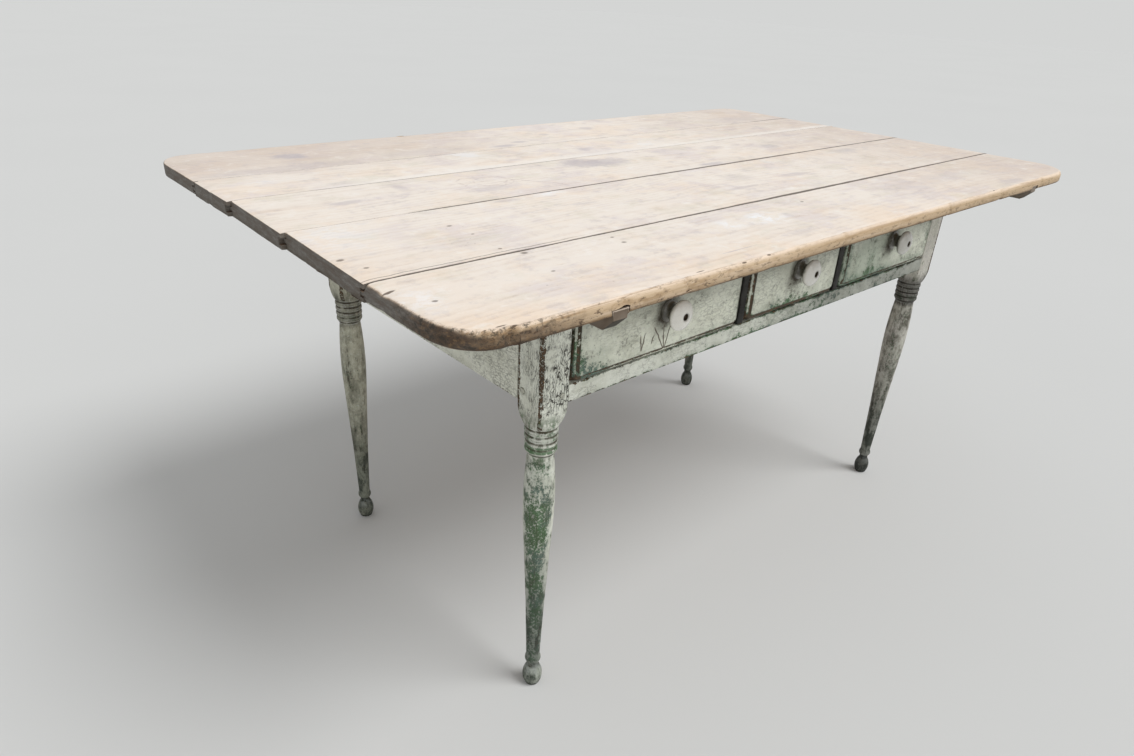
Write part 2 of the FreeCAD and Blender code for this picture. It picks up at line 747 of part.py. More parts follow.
def make_frame_pegs():
    """The pegs that lock every tenon, driven in from the outside of the posts."""
    length = S.peg_length + S.peg_proud
    pegs = []
    for side, out_x in ((-1, "-x"), (1, "+x")):
        near_x = side * (OUTER_X - S.peg_length)
        for face in (-1, 1):
            for height in PEG_HEIGHTS:
                start = (near_x, face * (INNER_Y + S.peg_setback), height)
                pegs.append(rod("end_peg", start, out_x, length, S.peg_radius))
        across = side * (INNER_X + S.peg_setback)
        for height in PEG_HEIGHTS:
            start = (across, OUTER_Y - S.peg_length, height)
            pegs.append(rod("back_peg", start, "+y", length, S.peg_radius))
        start = (across, S.peg_length - OUTER_Y, RAIL_PEG_HEIGHT)
        pegs.append(rod("front_peg", start, "-y", length, S.peg_radius))
    group("frame_pegs", pegs)


def make_top_pins():
    """Four turned pins, each through a batten and into an end apron, so that the top lifts off."""
    pins = []
    shank = S.pin_depth + S.batten_gap + S.batten_width
    for side, out_x in ((-1, "-x"), (1, "+x")):
        for end in (-1, 1):
            y = end * S.pin_spacing / 2
            inner = (side * (OUTER_X - S.pin_depth), y, PIN_HEIGHT)
            outer = (side * (OUTER_X - S.pin_depth + shank), y, PIN_HEIGHT)
            pin = doc.addObject("Part::MultiFuse", "pin")
            head = rod("pin_head", outer, out_x, S.pin_head_length, S.pin_head_radius)
            pin.Shapes = [rod("pin_shank", inner, out_x, shank, S.pin_radius), head]
            pins.append(pin)
    group("top_pins", pins)


# ---- the drawers ----------------------------------------------------------------------------------
DRAWER_FLOOR = RAIL_TOP + S.drawer_run_gap
FRONT_HEIGHT = UPPER_RAIL_BOTTOM - S.drawer_gap_top - DRAWER_FLOOR
SIDE_HEIGHT = FRONT_HEIGHT - S.side_height_below_front
LIP_THICKNESS = S.lip_edge + S.lip_round
FIELD_INSET = S.lip_round + S.lip_flat
FRONT_BODY = S.front_thickness - S.field_step - LIP_THICKNESS
FRONT_BACK = S.front_thickness - S.drawer_proud - OUTER_Y
SIDE_LENGTH = APRON_FRONT - S.drawer_back_gap - FRONT_BACK
TAIL_PITCH = SIDE_HEIGHT / S.tail_count
KNOB_HEIGHT = FRONT_HEIGHT / 2
BOLT_HOLE = S.bolt_radius + S.bolt_clearance


def rounded_rectangle(inset, width, height, radius):
    low_x, high_x, low_y, high_y = inset, width - inset, inset, height - inset
    rise = QUARTER_RISE * radius
    plate = Outline(low_x + radius, low_y).line(high_x - radius, low_y)
    plate.arc(high_x, low_y + radius, rise).line(high_x, high_y - radius)
    plate.arc(high_x - radius, high_y, rise).line(low_x + radius, high_y)
    plate.arc(low_x, high_y - radius, rise).line(low_x, low_y + radius)
    plate.arc(low_x + radius, low_y, rise)
    return plate


def tail_outline(way):
    """The lowest tail, seen from the side; way is +1 where it points to larger Y."""
    middle = TAIL_PITCH / 2
    root = TAIL_PITCH * S.tail_share / 2
    end = root + S.tail_flare
    tip = way * S.tail_length
    shape = Outline(0, middle - root).line(tip, middle - end).line(tip, middle + end)
    return shape.line(0, middle + root).close()


def make_drawer_front(label, width):
    """A moulded front; its origin is the lower left corner of its back face."""
    front = new_body(f"{label}_front")
    box_width = width - 2 * S.lip_overhang
    block(front, "Additive", "board", (S.lip_overhang, width - S.lip_overhang),
          (-FRONT_BODY, 0), (0, FRONT_HEIGHT))
    plate = rounded_rectangle(as_size(0), width, FRONT_HEIGHT, S.front_corner_radius)
    lip = pad(front, "lip", draw(front, "lip_outline", "XZ_Plane", (0, 0, FRONT_BODY), plate),
              LIP_THICKNESS)
    face = -(FRONT_BODY + LIP_THICKNESS).value
    round_edges(front, "quarter_round", lip, S.lip_round,
                lambda edge: all(abs(corner.Y - face) < 1e-4 for corner in edge.Vertexes))
    inner = rounded_rectangle(FIELD_INSET, width, FRONT_HEIGHT, S.front_corner_radius - FIELD_INSET / 2)
    pad(front, "field", draw(front, "field_outline", "XZ_Plane",
                             (0, 0, FRONT_BODY + LIP_THICKNESS - 1), inner), S.field_step + 1)
    for place, start in (("left", S.lip_overhang), ("right", width - S.lip_overhang - S.side_thickness)):
        plan = draw(front, f"{place}_tail", "YZ_Plane", (0, 0, start), tail_outline(-1))
        socket = pocket(front, f"{place}_socket", plan, S.side_thickness, reverse=True)
        repeat(front, f"{place}_sockets", socket, plan, "V_Axis", TAIL_PITCH, S.tail_count)
    reach = S.lip_overhang + S.side_thickness - S.groove_depth
    block(front, "Subtractive", "bottom_groove", (reach, width - reach), (-S.groove_depth, 0),
          (S.groove_height, S.groove_height + S.groove_width))
    bore(front, "bolt_hole", "y", (width / 2, KNOB_HEIGHT),
         (-S.front_thickness - OVERCUT, OVERCUT), BOLT_HOLE)
    return front


def make_drawer_side(label, place):
    """A side with its tails; its origin is the lower left corner where it meets the front."""
    side = new_body(f"{label}_side_{place}")
    block(side, "Additive", "board", (0, S.side_thickness), (0, SIDE_LENGTH), (0, SIDE_HEIGHT))
    plan = draw(side, "tail_outline", "YZ_Plane", (0, 0, 0), tail_outline(-1))
    tail = pad(side, "tail", plan, S.side_thickness)
    repeat(side, "tails", tail, plan, "V_Axis", TAIL_PITCH, S.tail_count)

    def cut_in(depth):
        """The span of a groove in the side's inner face."""
        return (S.side_thickness - depth, S.side_thickness) if place == "left" else (0, depth)

    block(side, "Subtractive", "bottom_groove", cut_in(S.groove_depth),
          (-S.tail_length - OVERCUT, SIDE_LENGTH + OVERCUT),
          (S.groove_height, S.groove_height + S.groove_width))
    back_face = SIDE_LENGTH - S.drawer_back_setback
    block(side, "Subtractive", "back_dado", cut_in(S.dado_depth),
          (back_face - S.drawer_back_thickness, back_face),
          (S.groove_height + S.groove_width, SIDE_HEIGHT + OVERCUT))
    return side


def make_drawer_back(label, width):
    back = new_body(f"{label}_back")
    span = width - 2 * (S.lip_overhang + S.side_thickness - S.dado_depth)
    block(back, "Additive", "board", (0, span), (0, S.drawer_back_thickness),
          (S.groove_height + S.groove_width, SIDE_HEIGHT - S.drawer_back_drop))
    return back


def make_drawer_bottom(label, width):
    """A bevelled panel that slides into the grooves from behind; its origin is its front left corner."""
    bottom = new_body(f"{label}_bottom")
    span = width - 2 * (S.lip_overhang + S.side_thickness - S.groove_depth + S.bottom_clearance)
    depth = SIDE_LENGTH - S.drawer_back_setback + S.groove_depth - S.bottom_clearance
    block(bottom, "Additive", "panel", (0, span), (0, depth), (0, S.bottom_thickness))
    edge = S.groove_depth + 1
    drop = S.bottom_thickness - S.groove_width + S.bottom_clearance / 2

    def bevel(start, inwards):
        shape = Outline(start, -OVERCUT).line(start + inwards * (edge + S.bevel_width), -OVERCUT)
        shape.line(start + inwards * (edge + S.bevel_width), 0).line(start + inwards * edge, drop)
        return shape.line(start - inwards * OVERCUT, drop).line(start - inwards * OVERCUT, -OVERCUT).close()

    for place, start, inwards in (("left", as_size(0), 1), ("right", span, -1)):
        section = draw(bottom, f"{place}_bevel", "XZ_Plane", (0, 0, OVERCUT), bevel(start, inwards))
        pocket(bottom, f"bevel_{place}", section, depth + 2 * OVERCUT)
    section = draw(bottom, "front_bevel", "YZ_Plane", (0, 0, -OVERCUT), bevel(as_size(0), 1))
    pocket(bottom, "bevel_front", section, span + 2 * OVERCUT, reverse=True)
    return bottom


def make_knob(label):
    """A turned porcelain knob; it is modelled upright, with its foot at the origin."""
    knob = new_body(f"{label}_knob")
    recess = S.knob_length - S.knob_dimple_depth
    shape = Outline(BOLT_HOLE, 0).line(S.knob_flange_radius, 0)
    shape.line(S.knob_flange_radius, S.knob_flange_thickness)
    shape.arc(S.knob_neck_radius, S.knob_neck_height, -S.knob_flange_cove)
    shape.arc(S.knob_radius, S.knob_rim_bottom, -S.knob_cup_cove)
    shape.arc(S.knob_radius, S.knob_rim_top, S.knob_rim_swell)
    shape.arc(S.knob_dimple_radius + S.knob_dimple_edge, S.knob_length, S.knob_crown)
    shape.line(S.knob_dimple_radius, S.knob_length - S.knob_dimple_edge)
    shape.line(S.knob_dimple_radius, recess).line(BOLT_HOLE, recess)
    turn(knob, "Revolution", "turning", draw(knob, "profile", "XZ_Plane", (0, 0, 0), shape.close()))
    return knob


def make_bolt(label):
    """The slotted bolt that holds the knob; it is modelled upright, with its origin at the knob's foot."""
    bolt = new_body(f"{label}_knob_bolt")
    seat = S.knob_length - S.knob_dimple_depth
    head = S.knob_dimple_radius - S.bolt_head_clearance
    top = seat + S.bolt_head_thickness
    foot = -(S.front_thickness + S.nut_thickness + S.bolt_end)
    shape = Outline(0, foot).line(S.bolt_radius, foot).line(S.bolt_radius, seat).line(head, seat)
    shape.line(head, seat + S.bolt_head_thickness / 2).arc(head / 2, top, S.bolt_head_crown)
    shape.line(0, top)
    turn(bolt, "Revolution", "turning", draw(bolt, "profile", "XZ_Plane", (0, 0, 0), shape.close()))
    block(bolt, "Subtractive", "slot", (-S.bolt_slot / 2, S.bolt_slot / 2), (-head, head),
          (top - S.bolt_slot, top + OVERCUT))
    return bolt


def make_nut(label):
    """The square nut inside the drawer."""
    nut = new_body(f"{label}_knob_nut")
    half = S.nut_width / 2
    block(nut, "Additive", "square", (-half, half), (0, S.nut_thickness), (-half, half))
    bore(nut, "hole", "y", (0, 0), (-OVERCUT, S.nut_thickness + OVERCUT), BOLT_HOLE)
    return nut


def make_drawer(number, low, high):
    """A drawer that fills the opening from low to high."""
    label = f"drawer_{number}"
    left = low + S.drawer_gap_left
    width = high - S.drawer_gap_right - left
    front_face = FRONT_BACK - S.front_thickness
    knob_place = (left + width / 2, DRAWER_FLOOR + KNOB_HEIGHT)
    move(make_drawer_front(label, width), left, FRONT_BACK, DRAWER_FLOOR)
    move(make_drawer_side(label, "left"), left + S.lip_overhang, FRONT_BACK, DRAWER_FLOOR)
    move(make_drawer_side(label, "right"), left + width - S.lip_overhang - S.side_thickness,
         FRONT_BACK, DRAWER_FLOOR)
    move(make_drawer_back(label, width), left + S.lip_overhang + S.side_thickness - S.dado_depth,
         FRONT_BACK + SIDE_LENGTH - S.drawer_back_setback - S.drawer_back_thickness, DRAWER_FLOOR)
    inset = S.lip_overhang + S.side_thickness - S.groove_depth + S.bottom_clearance
    move(make_drawer_bottom(label, width), left + inset, FRONT_BACK - S.groove_depth + S.bottom_clearance,
         DRAWER_FLOOR + S.groove_height + S.groove_width - S.bottom_clearance / 4 - S.bottom_thickness)
    for piece in (make_knob(label), make_bolt(label)):
        move(piece, knob_place[0], front_face, knob_place[1], TOWARDS["-y"])
    move(make_nut(label), knob_place[0], FRONT_BACK, knob_place[1])


# ---- the whole table ------------------------------------------------------------------------------
def make_table():
    for label, side, face in (("leg_front_left", -1, -1), ("leg_front_right", 1, -1),
                              ("leg_back_left", -1, 1), ("leg_back_right", 1, 1)):
        make_leg(label, side, face)
    make_end_apron("end_apron_left", -1)
    make_end_apron("end_apron_right", 1)
    make_back_apron()
    make_lower_rail()
    make_upper_rail()
    make_divider("drawer_divider_1", S.divider_1_x)
    make_divider("drawer_divider_2", S.divider_2_x)
    for place in BEARER_SPANS:
        make_bearer(f"drawer_runner_{place}", place, RUNNER_BOTTOM, S.runner_thickness, RUNNER_STUB)
        make_bearer(f"drawer_kicker_{place}", place, UPPER_RAIL_BOTTOM, S.kicker_thickness, KICKER_STUB)
    make_guides()
    make_top()
    make_batten("left", -1, S.batten_left_inset)
    make_batten("right", 1, S.batten_right_inset)
    make_frame_pegs()
    make_top_pins()
    half = S.divider_thickness / 2
    make_drawer(1, -INNER_X, S.divider_1_x - half)
    make_drawer(2, S.divider_1_x + half, S.divider_2_x - half)
    make_drawer(3, S.divider_2_x + half, INNER_X)


def export():
    """Check every object, then write one STEP file for each piece."""
    doc.recompute()
    for item in doc.Objects:
        if "Invalid" in item.State or "Error" in item.State:
            raise RuntimeError(f"{item.Label} ({item.Name}) did not compute")
    pieces = [item for item in doc.Objects if item.TypeId in ("PartDesign::Body", "Part::Compound")]
    os.makedirs("parts", exist_ok=True)
    for piece in pieces:
        if piece.Shape.isNull() or not piece.Shape.isValid():
            raise RuntimeError(f"{piece.Label} has no valid shape")
        piece.Shape.exportStep(os.path.join("parts", f"{piece.Label}.step"))
    print(len(pieces), "pieces written")


make_table()
export()
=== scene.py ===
"""The finish of a farm kitchen table: scrubbed boards, old cracked paint, porcelain knobs and iron nails."""

import math

import bpy
from mathutils import Matrix, Vector


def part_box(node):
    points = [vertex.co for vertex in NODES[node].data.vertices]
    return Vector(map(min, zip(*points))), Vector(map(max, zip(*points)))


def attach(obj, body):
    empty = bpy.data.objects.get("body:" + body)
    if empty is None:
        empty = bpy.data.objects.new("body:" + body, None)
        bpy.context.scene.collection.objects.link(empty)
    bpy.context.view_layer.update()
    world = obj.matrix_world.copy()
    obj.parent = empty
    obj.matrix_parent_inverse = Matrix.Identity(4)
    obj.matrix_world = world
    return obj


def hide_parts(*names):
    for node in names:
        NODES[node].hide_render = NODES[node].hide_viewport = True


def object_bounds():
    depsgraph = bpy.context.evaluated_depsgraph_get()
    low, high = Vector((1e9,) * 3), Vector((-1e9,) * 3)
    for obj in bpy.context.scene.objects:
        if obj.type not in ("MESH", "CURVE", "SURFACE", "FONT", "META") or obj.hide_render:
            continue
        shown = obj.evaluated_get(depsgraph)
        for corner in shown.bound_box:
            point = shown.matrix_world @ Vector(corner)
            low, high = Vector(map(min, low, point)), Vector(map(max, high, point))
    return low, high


bl_info = {
    "name": "Farm Kitchen Table",
    "version": (1, 0, 0),
    "blender": (4, 5, 0),
    "location": "3D View > Sidebar > Table",
    "description": "Dresses a kitchen table with worn boards, old paint and porcelain knobs",
    "category": "Object",
}

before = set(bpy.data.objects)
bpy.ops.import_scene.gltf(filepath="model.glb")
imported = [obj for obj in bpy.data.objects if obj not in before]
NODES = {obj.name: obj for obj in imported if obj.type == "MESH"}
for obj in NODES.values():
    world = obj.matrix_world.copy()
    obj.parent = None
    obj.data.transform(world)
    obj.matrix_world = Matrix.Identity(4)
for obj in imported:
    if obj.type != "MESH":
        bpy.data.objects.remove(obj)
CAD_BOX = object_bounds()
TOP_HEIGHT = Vector(CAD_BOX[1]).z
DRAWERS = ("drawer_1", "drawer_2", "drawer_3")
LEGS = ("leg_front_left", "leg_front_right", "leg_back_left", "leg_back_right")
MM = 0.001


def srgb(red, green, blue):
    """A colour given as 0 to 255 on a screen, as the linear numbers that a shader uses."""
    shares = [channel / 255 for channel in (red, green, blue)]
    return tuple(s / 12.92 if s <= 0.04045 else ((s + 0.055) / 1.055) ** 2.4 for s in shares)


# ---- settings -------------------------------------------------------------------------------------
def length(name, description, default):
    return bpy.props.FloatProperty(name=name, description=description, default=default, min=0,
                                   unit="LENGTH", subtype="DISTANCE")


def share(name, description, default):
    return bpy.props.FloatProperty(name=name, description=description, default=default, min=0, max=1,
                                   subtype="FACTOR")


def colour(name, description, red, green, blue):
    return bpy.props.FloatVectorProperty(name=name, description=description, size=3, subtype="COLOR",
                                         min=0, max=1, default=srgb(red, green, blue))


def strength(name, description, default):
    return bpy.props.FloatProperty(name=name, description=description, default=default, min=0, soft_max=5)


class TableSizes(bpy.types.PropertyGroup):
    """How worn the table is and how finely its pieces are cut up."""

    board_wear: length("Board wear", "How deep the edges of the top boards are worn", 3.0 * MM)
    board_step: length("Board step", "Distance between the cross cuts in a top board's mesh", 10 * MM)
    paint_build: length("Paint build", "How far the paint makes the surface uneven", 0.45 * MM)
    leg_grid: length("Leg grid", "Grid size of the legs' meshes", 1.6 * MM)
    drawer_grid: length("Drawer grid", "Grid size of the drawer fronts' meshes", 1.5 * MM)
    rail_softness: length("Rail softness", "How round the edges of rails and aprons are worn", 1.4 * MM)
    nail_radius: length("Nail radius", "Radius of a nail head", 1.7 * MM)


class TableColours(bpy.types.PropertyGroup):
    """The colours of woods, paints, glaze and iron."""

    scrubbed: colour("Scrubbed wood", "The pale face of the top", 240, 231, 221)
    honey: colour("Honey wood", "Warmer parts of the top", 240, 222, 203)
    weathered: colour("Weathered wood", "Cooler, greyer parts of the top", 223, 213, 212)
    mossy: colour("Mossy wood", "Parts of the top that lean to olive", 220, 213, 196)
    handled: colour("Handled wood", "The darker back and right of the top", 208, 192, 180)
    ring: colour("Growth rings", "The darker lines of the grain", 196, 168, 140)
    nosing: colour("Nosing", "The handled front edge of the top", 194, 170, 139)
    rubbed: colour("Rubbed wood", "Browner patches on the front edge", 150, 120, 84)
    burnt: colour("Burnt brown", "The dark brown front corner of the top", 74, 56, 40)
    end_grain: colour("End grain", "The ends of the top boards", 112, 108, 102)
    stain: colour("Stain", "Dark marks on the top", 188, 180, 184)
    scratch: colour("Scratch", "Scratches in the top", 172, 150, 146)
    old_wood: colour("Old wood", "Bare wood under the table and in the drawers", 152, 121, 88)
    young_wood: colour("Young wood", "The paler bands in the bare wood", 176, 146, 108)
    dark_wood: colour("Dark wood", "Wood where the paint has gone", 84, 66, 50)
    cream: colour("Cream paint", "The last coat of paint", 222, 223, 209)
    aged_cream: colour("Aged cream paint", "The last coat where it has dulled", 184, 185, 168)
    green: colour("Green paint", "The coat under the cream one", 78, 114, 74)
    teal: colour("Teal paint", "Green paint that has turned blue", 98, 122, 110)
    # Also laid as painted shade: on faces that look down, in the legs' grooves and collars, round the knobs
    # and under the top's overhang.
    grime_and_shade: colour("Grime", "Dirt in corners and on handled parts", 74, 66, 52)
    crevice: colour("Crevice", "Dirt deep in the cracks of the paint", 48, 44, 36)
    porcelain: colour("Porcelain", "The glaze of the knobs", 236, 234, 226)
    iron: colour("Iron", "Bolts and nails", 56, 46, 39)


class TableStage(bpy.types.PropertyGroup):
    """The floor, the light and the view."""

    floor: colour("Floor", "Colour of the floor", 212, 213, 212)
    backdrop: colour("Backdrop", "Colour of what stands behind the floor", 212, 213, 212)
    sky: share("Soft light", "Strength of the light from all round", 0.5)
    key_light: strength("Key light", "Strength of the large lamp above the front", 1.85)
    front_light: strength("Front light", "Strength of the wide lamp low in front", 0.55)
    focal_length: bpy.props.FloatProperty(name="Focal length", description="Focal length of the camera in mm",
                                          default=24.457, min=1)


# ---- shader expressions ---------------------------------------------------------------------------
def operator(operation, swapped=False):
    """A Python operator that stands for a Math node."""
    def combine(self, other=0.0):
        first, second = (other, self) if swapped else (self, other)
        return self.finish.maths(operation, first, second)
    return combine


class Signal:
    """One output of a node, which can stand in a Python expression."""

    __add__, __radd__ = operator("ADD"), operator("ADD", swapped=True)
    __sub__, __rsub__ = operator("SUBTRACT"), operator("SUBTRACT", swapped=True)
    __mul__, __rmul__ = operator("MULTIPLY"), operator("MULTIPLY", swapped=True)
    __truediv__, __abs__ = operator("DIVIDE"), operator("ABSOLUTE")
    root, fraction = operator("SQRT"), operator("FRACT")
    larger, smaller = operator("MAXIMUM"), operator("MINIMUM")

    def __init__(self, finish, socket):
        self.finish = finish
        self.socket = socket

    def clip(self):
        """This value held between 0 and 1."""
        return self.larger(0.0).smaller(1.0)

    def step(self, low, high):
        """0 below low and 1 above high, or the other way round where low is the larger."""
        return self.finish.add("ShaderNodeMapRange", {"interpolation_type": "SMOOTHSTEP"},
                               {"Value": self, "From Min": low, "From Max": high})

    def mix(self, amount, other):
        """This colour with another laid over it."""
        return self.finish.mix(amount, self, other)

    def dim(self, left):
        """This colour darkened all over, so that its pattern shows through; left is what stays of it."""
        if not isinstance(left, Signal):
            left = (left, left, left, 1)
        return self.finish.add("ShaderNodeMix", {"data_type": "RGBA", "blend_type": "MULTIPLY"},
                               {0: 1.0, 6: self, 7: left}, output=2)


class Finish:
    """A material, built up node by node."""

    def __init__(self, name):
        self.material = bpy.data.materials.new(name)
        self.material.use_nodes = True
        self.tree = self.material.node_tree
        self.tree.nodes.clear()
        self.place = self.add("ShaderNodeTexCoord", output="Object")
        self.x, self.y, self.z = self.split(self.place)
        self.nx, self.ny, self.nz = self.split(self.add("ShaderNodeTexCoord", output="Normal"))

    def add(self, kind, settings=None, inputs=None, output=0):
        """A node with its settings and its inputs; gives one output, or several for a tuple."""
        node = self.tree.nodes.new(kind)
        for name, value in (settings or {}).items():
            setattr(node, name, value)
        for key, value in (inputs or {}).items():
            if isinstance(value, Signal):
                self.tree.links.new(value.socket, node.inputs[key])
            else:
                node.inputs[key].default_value = value
        if isinstance(output, tuple):
            return [Signal(self, node.outputs[one]) for one in output]
        return Signal(self, node.outputs[output])

    def maths(self, operation, first, second):
        """One Math node."""
        return self.add("ShaderNodeMath", {"operation": operation}, {0: first, 1: second})

    def vector_maths(self, operation, inputs):
        return self.add("ShaderNodeVectorMath", {"operation": operation}, inputs)

    def split(self, vector):
        """The three parts of a vector."""
        return self.add("ShaderNodeSeparateXYZ", inputs={0: vector}, output=(0, 1, 2))

    def spread(self, scale, shift=(0, 0, 0)):
        """Object coordinates, stretched and shifted; scale is one number, or one for each axis."""
        if not isinstance(scale, tuple):
            scale = (scale, scale, scale)
        return self.add("ShaderNodeMapping", inputs={"Vector": self.place, "Scale": scale, "Location": shift})

    def noise(self, scale, shift=(0, 0, 0), detail=4, roughness=0.5, twist=0.0):
        """Soft noise; detail is how many finer layers it has and roughness how strong they are."""
        return self.add("ShaderNodeTexNoise", {"noise_dimensions": "3D"},
                        {"Vector": self.spread(scale, shift), "Scale": 1.0, "Detail": detail,
                         "Roughness": roughness, "Distortion": twist})

    def warped(self, scale, shift, amount, fineness):
        """Stretched coordinates pushed about by noise, for cracks that wander."""
        push = self.add("ShaderNodeTexNoise", {"noise_dimensions": "3D"},
                        {"Vector": self.place, "Scale": fineness, "Detail": 3}, output=1)
        push = self.vector_maths("SUBTRACT", {0: push, 1: (0.5, 0.5, 0.5)})
        push = self.vector_maths("SCALE", {0: push, "Scale": amount})
        return self.vector_maths("ADD", {0: self.spread(scale, shift), 1: push})

    def cells(self, place, kind="DISTANCE_TO_EDGE"):
        """The distance to a cell's edge, or to its middle for F1."""
        return self.add("ShaderNodeTexVoronoi", {"feature": kind}, {"Vector": place, "Scale": 1.0})

    def mix(self, amount, first, second):
        """A colour between two, each a signal, a plain colour or the name of one of the table's colours."""
        pair = []
        for value in (first, second):
            if isinstance(value, str):
                value = getattr(bpy.context.scene.table_colours, value)
            pair.append(value if isinstance(value, Signal) else (*value, 1))
        return self.add("ShaderNodeMix", {"data_type": "RGBA"}, {0: amount, 6: pair[0], 7: pair[1]}, output=2)

    def reach(self, centre, radii):
        """How far off a centre a point lies, seen from above: 1 on the ellipse with these radii."""
        across, along = (self.x - centre[0]) / radii[0], (self.y - centre[1]) / radii[1]
        return (across * across + along * along).root()

    def spot(self, centre, radii, ragged, softness=0.5):
        """1 inside an ellipse seen from above and 0 outside it, with a ragged edge."""
        return (self.reach(centre, radii) + ragged).step(1 + softness, 1 - softness)

    def surface(self, base, roughness, height=None, depth=0.5 * MM, gloss=0.5, metallic=0.0, coat=0.0):
        """Connect the surface; the constants go straight onto the shader's own sockets."""
        inputs = {"Base Color": base, "Roughness": roughness, "Specular IOR Level": gloss,
                  "Metallic": metallic, "Coat Weight": coat, "Coat Roughness": 0.08}
        if height is not None:
            inputs["Normal"] = self.add("ShaderNodeBump", inputs={"Strength": 1.0, "Distance": depth,
                                                                  "Height": height})
        shader = self.add("ShaderNodeBsdfPrincipled", inputs=inputs)
        out = self.tree.nodes.new("ShaderNodeOutputMaterial")
        self.tree.links.new(shader.socket, out.inputs["Surface"])
        return self.material


def lengthwise(axis, along, across):
    """A scale for noise with one value along an axis and another across it."""
    return tuple(along if name == axis else across for name in "xyz")


# ---- finishes -------------------------------------------------------------------------------------
BLEACHED = (0.93, 0.90, 0.86)
CHALKY = (0.93, 0.93, 0.94)
TONGUE = 7 * MM                 # how far a board's tongue reaches into the next board

# marks on the face of the top: centre x, centre y, half length, half width, strength
DARK_MARKS = (
    (-0.142, 0.076, 0.044, 0.032, 0.95),
    (-0.090, 0.060, 0.044, 0.026, 0.80),
    (-0.576, 0.365, 0.026, 0.020, 1.00),
    (-0.560, 0.352, 0.014, 0.012, 0.80),
    (-0.172, 0.273, 0.026, 0.010, 0.90),
    (-0.118, 0.295, 0.018, 0.009, 0.75),
    (-0.015, 0.341, 0.012, 0.010, 0.60),
    (0.128, 0.362, 0.020, 0.014, 0.60),
    (-0.636, 0.029, 0.024, 0.009, 0.70),
    (-0.526, 0.069, 0.010, 0.024, 0.35),
    (-0.400, -0.002, 0.036, 0.016, 0.45),
    (-0.429, -0.075, 0.022, 0.008, 0.60),
    (0.085, -0.049, 0.034, 0.010, 0.75),
    (0.213, 0.062, 0.028, 0.016, 0.45),
    (0.356, 0.016, 0.024, 0.018, 0.70),
    (0.520, 0.079, 0.022, 0.008, 0.45),
    (0.149, -0.188, 0.036, 0.010, 0.55),
    (-0.030, -0.206, 0.034, 0.006, 0.55),
    (0.470, -0.098, 0.044, 0.018, 0.50),
    (-0.044, 0.176, 0.020, 0.010, 0.45),
    (0.028, -0.152, 0.030, 0.022, 0.30),
    (0.330, -0.350, 0.140, 0.026, 0.30),
    (-0.640, 0.275, 0.130, 0.020, 0.35),
    (-0.330, 0.292, 0.110, 0.022, 0.30),
    (0.580, 0.300, 0.080, 0.040, 0.25),
    (-0.175, -0.420, 0.030, 0.010, 0.35),
    (0.500, -0.440, 0.040, 0.012, 0.60),
    (-0.325, -0.424, 0.030, 0.0015, 0.80),
)
PALE_MARKS = (
    (-0.236, -0.342, 0.014, 0.018, 0.9),
    (-0.158, -0.345, 0.028, 0.024, 1.0),
    (-0.343, -0.074, 0.028, 0.010, 0.8),
    (0.213, -0.088, 0.018, 0.018, 0.5),
    (-0.290, 0.235, 0.038, 0.030, 0.6),
    (0.113, 0.162, 0.050, 0.014, 0.5),
    (-0.686, 0.205, 0.060, 0.020, 0.3),
    (-0.720, -0.100, 0.050, 0.080, 0.4),
    (-0.745, -0.350, 0.024, 0.030, 0.6),
)
# short splits at the rim: centre x, centre y, half length, half width
SPLITS = (
    (-0.760, -0.312, 0.0075, 0.0022),
    (-0.718, -0.450, 0.0060, 0.0011),
    (-0.706, -0.455, 0.0036, 0.0010),
    (-0.352, -0.457, 0.0045, 0.0010),
    (-0.300, -0.456, 0.0040, 0.0010),
    (-0.430, -0.452, 0.0070, 0.0009),
    (0.380, -0.455, 0.0030, 0.0009),
)
# rings left by a pan: centre x, centre y, half length, half width, width of the line
PAN_RINGS = (
    (-0.386, 0.048, 0.044, 0.034, 0.080),
    (-0.372, 0.036, 0.034, 0.030, 0.070),
    (-0.396, 0.022, 0.036, 0.022, 0.090),
)
# cracks in the first drawer's paint: foot x, foot z, top z, how each one leans
GRASS_CRACKS = (
    (-0.366, 0.577, 0.606, (-0.16, 0.22)),
    (-0.318, 0.566, 0.612, (-0.55, -0.10, 0.32)),
    (-0.345, 0.583, 0.600, (0.30,)),
)
# dark specks round nails and holes: centre x, centre y, radius in mm
SPECKS = ((-0.575, -0.144, 2.6), (-0.577, -0.258, 2.2), (-0.562, -0.287, 3.4), (-0.575, -0.357, 2.0),
          (-0.424, -0.297, 2.0), (-0.426, -0.321, 2.8), (-0.022, -0.319, 2.4), (-0.735, -0.362, 2.4),
          (-0.756, -0.196, 3.0), (-0.570, -0.190, 1.6), (-0.744, -0.235, 2.2))


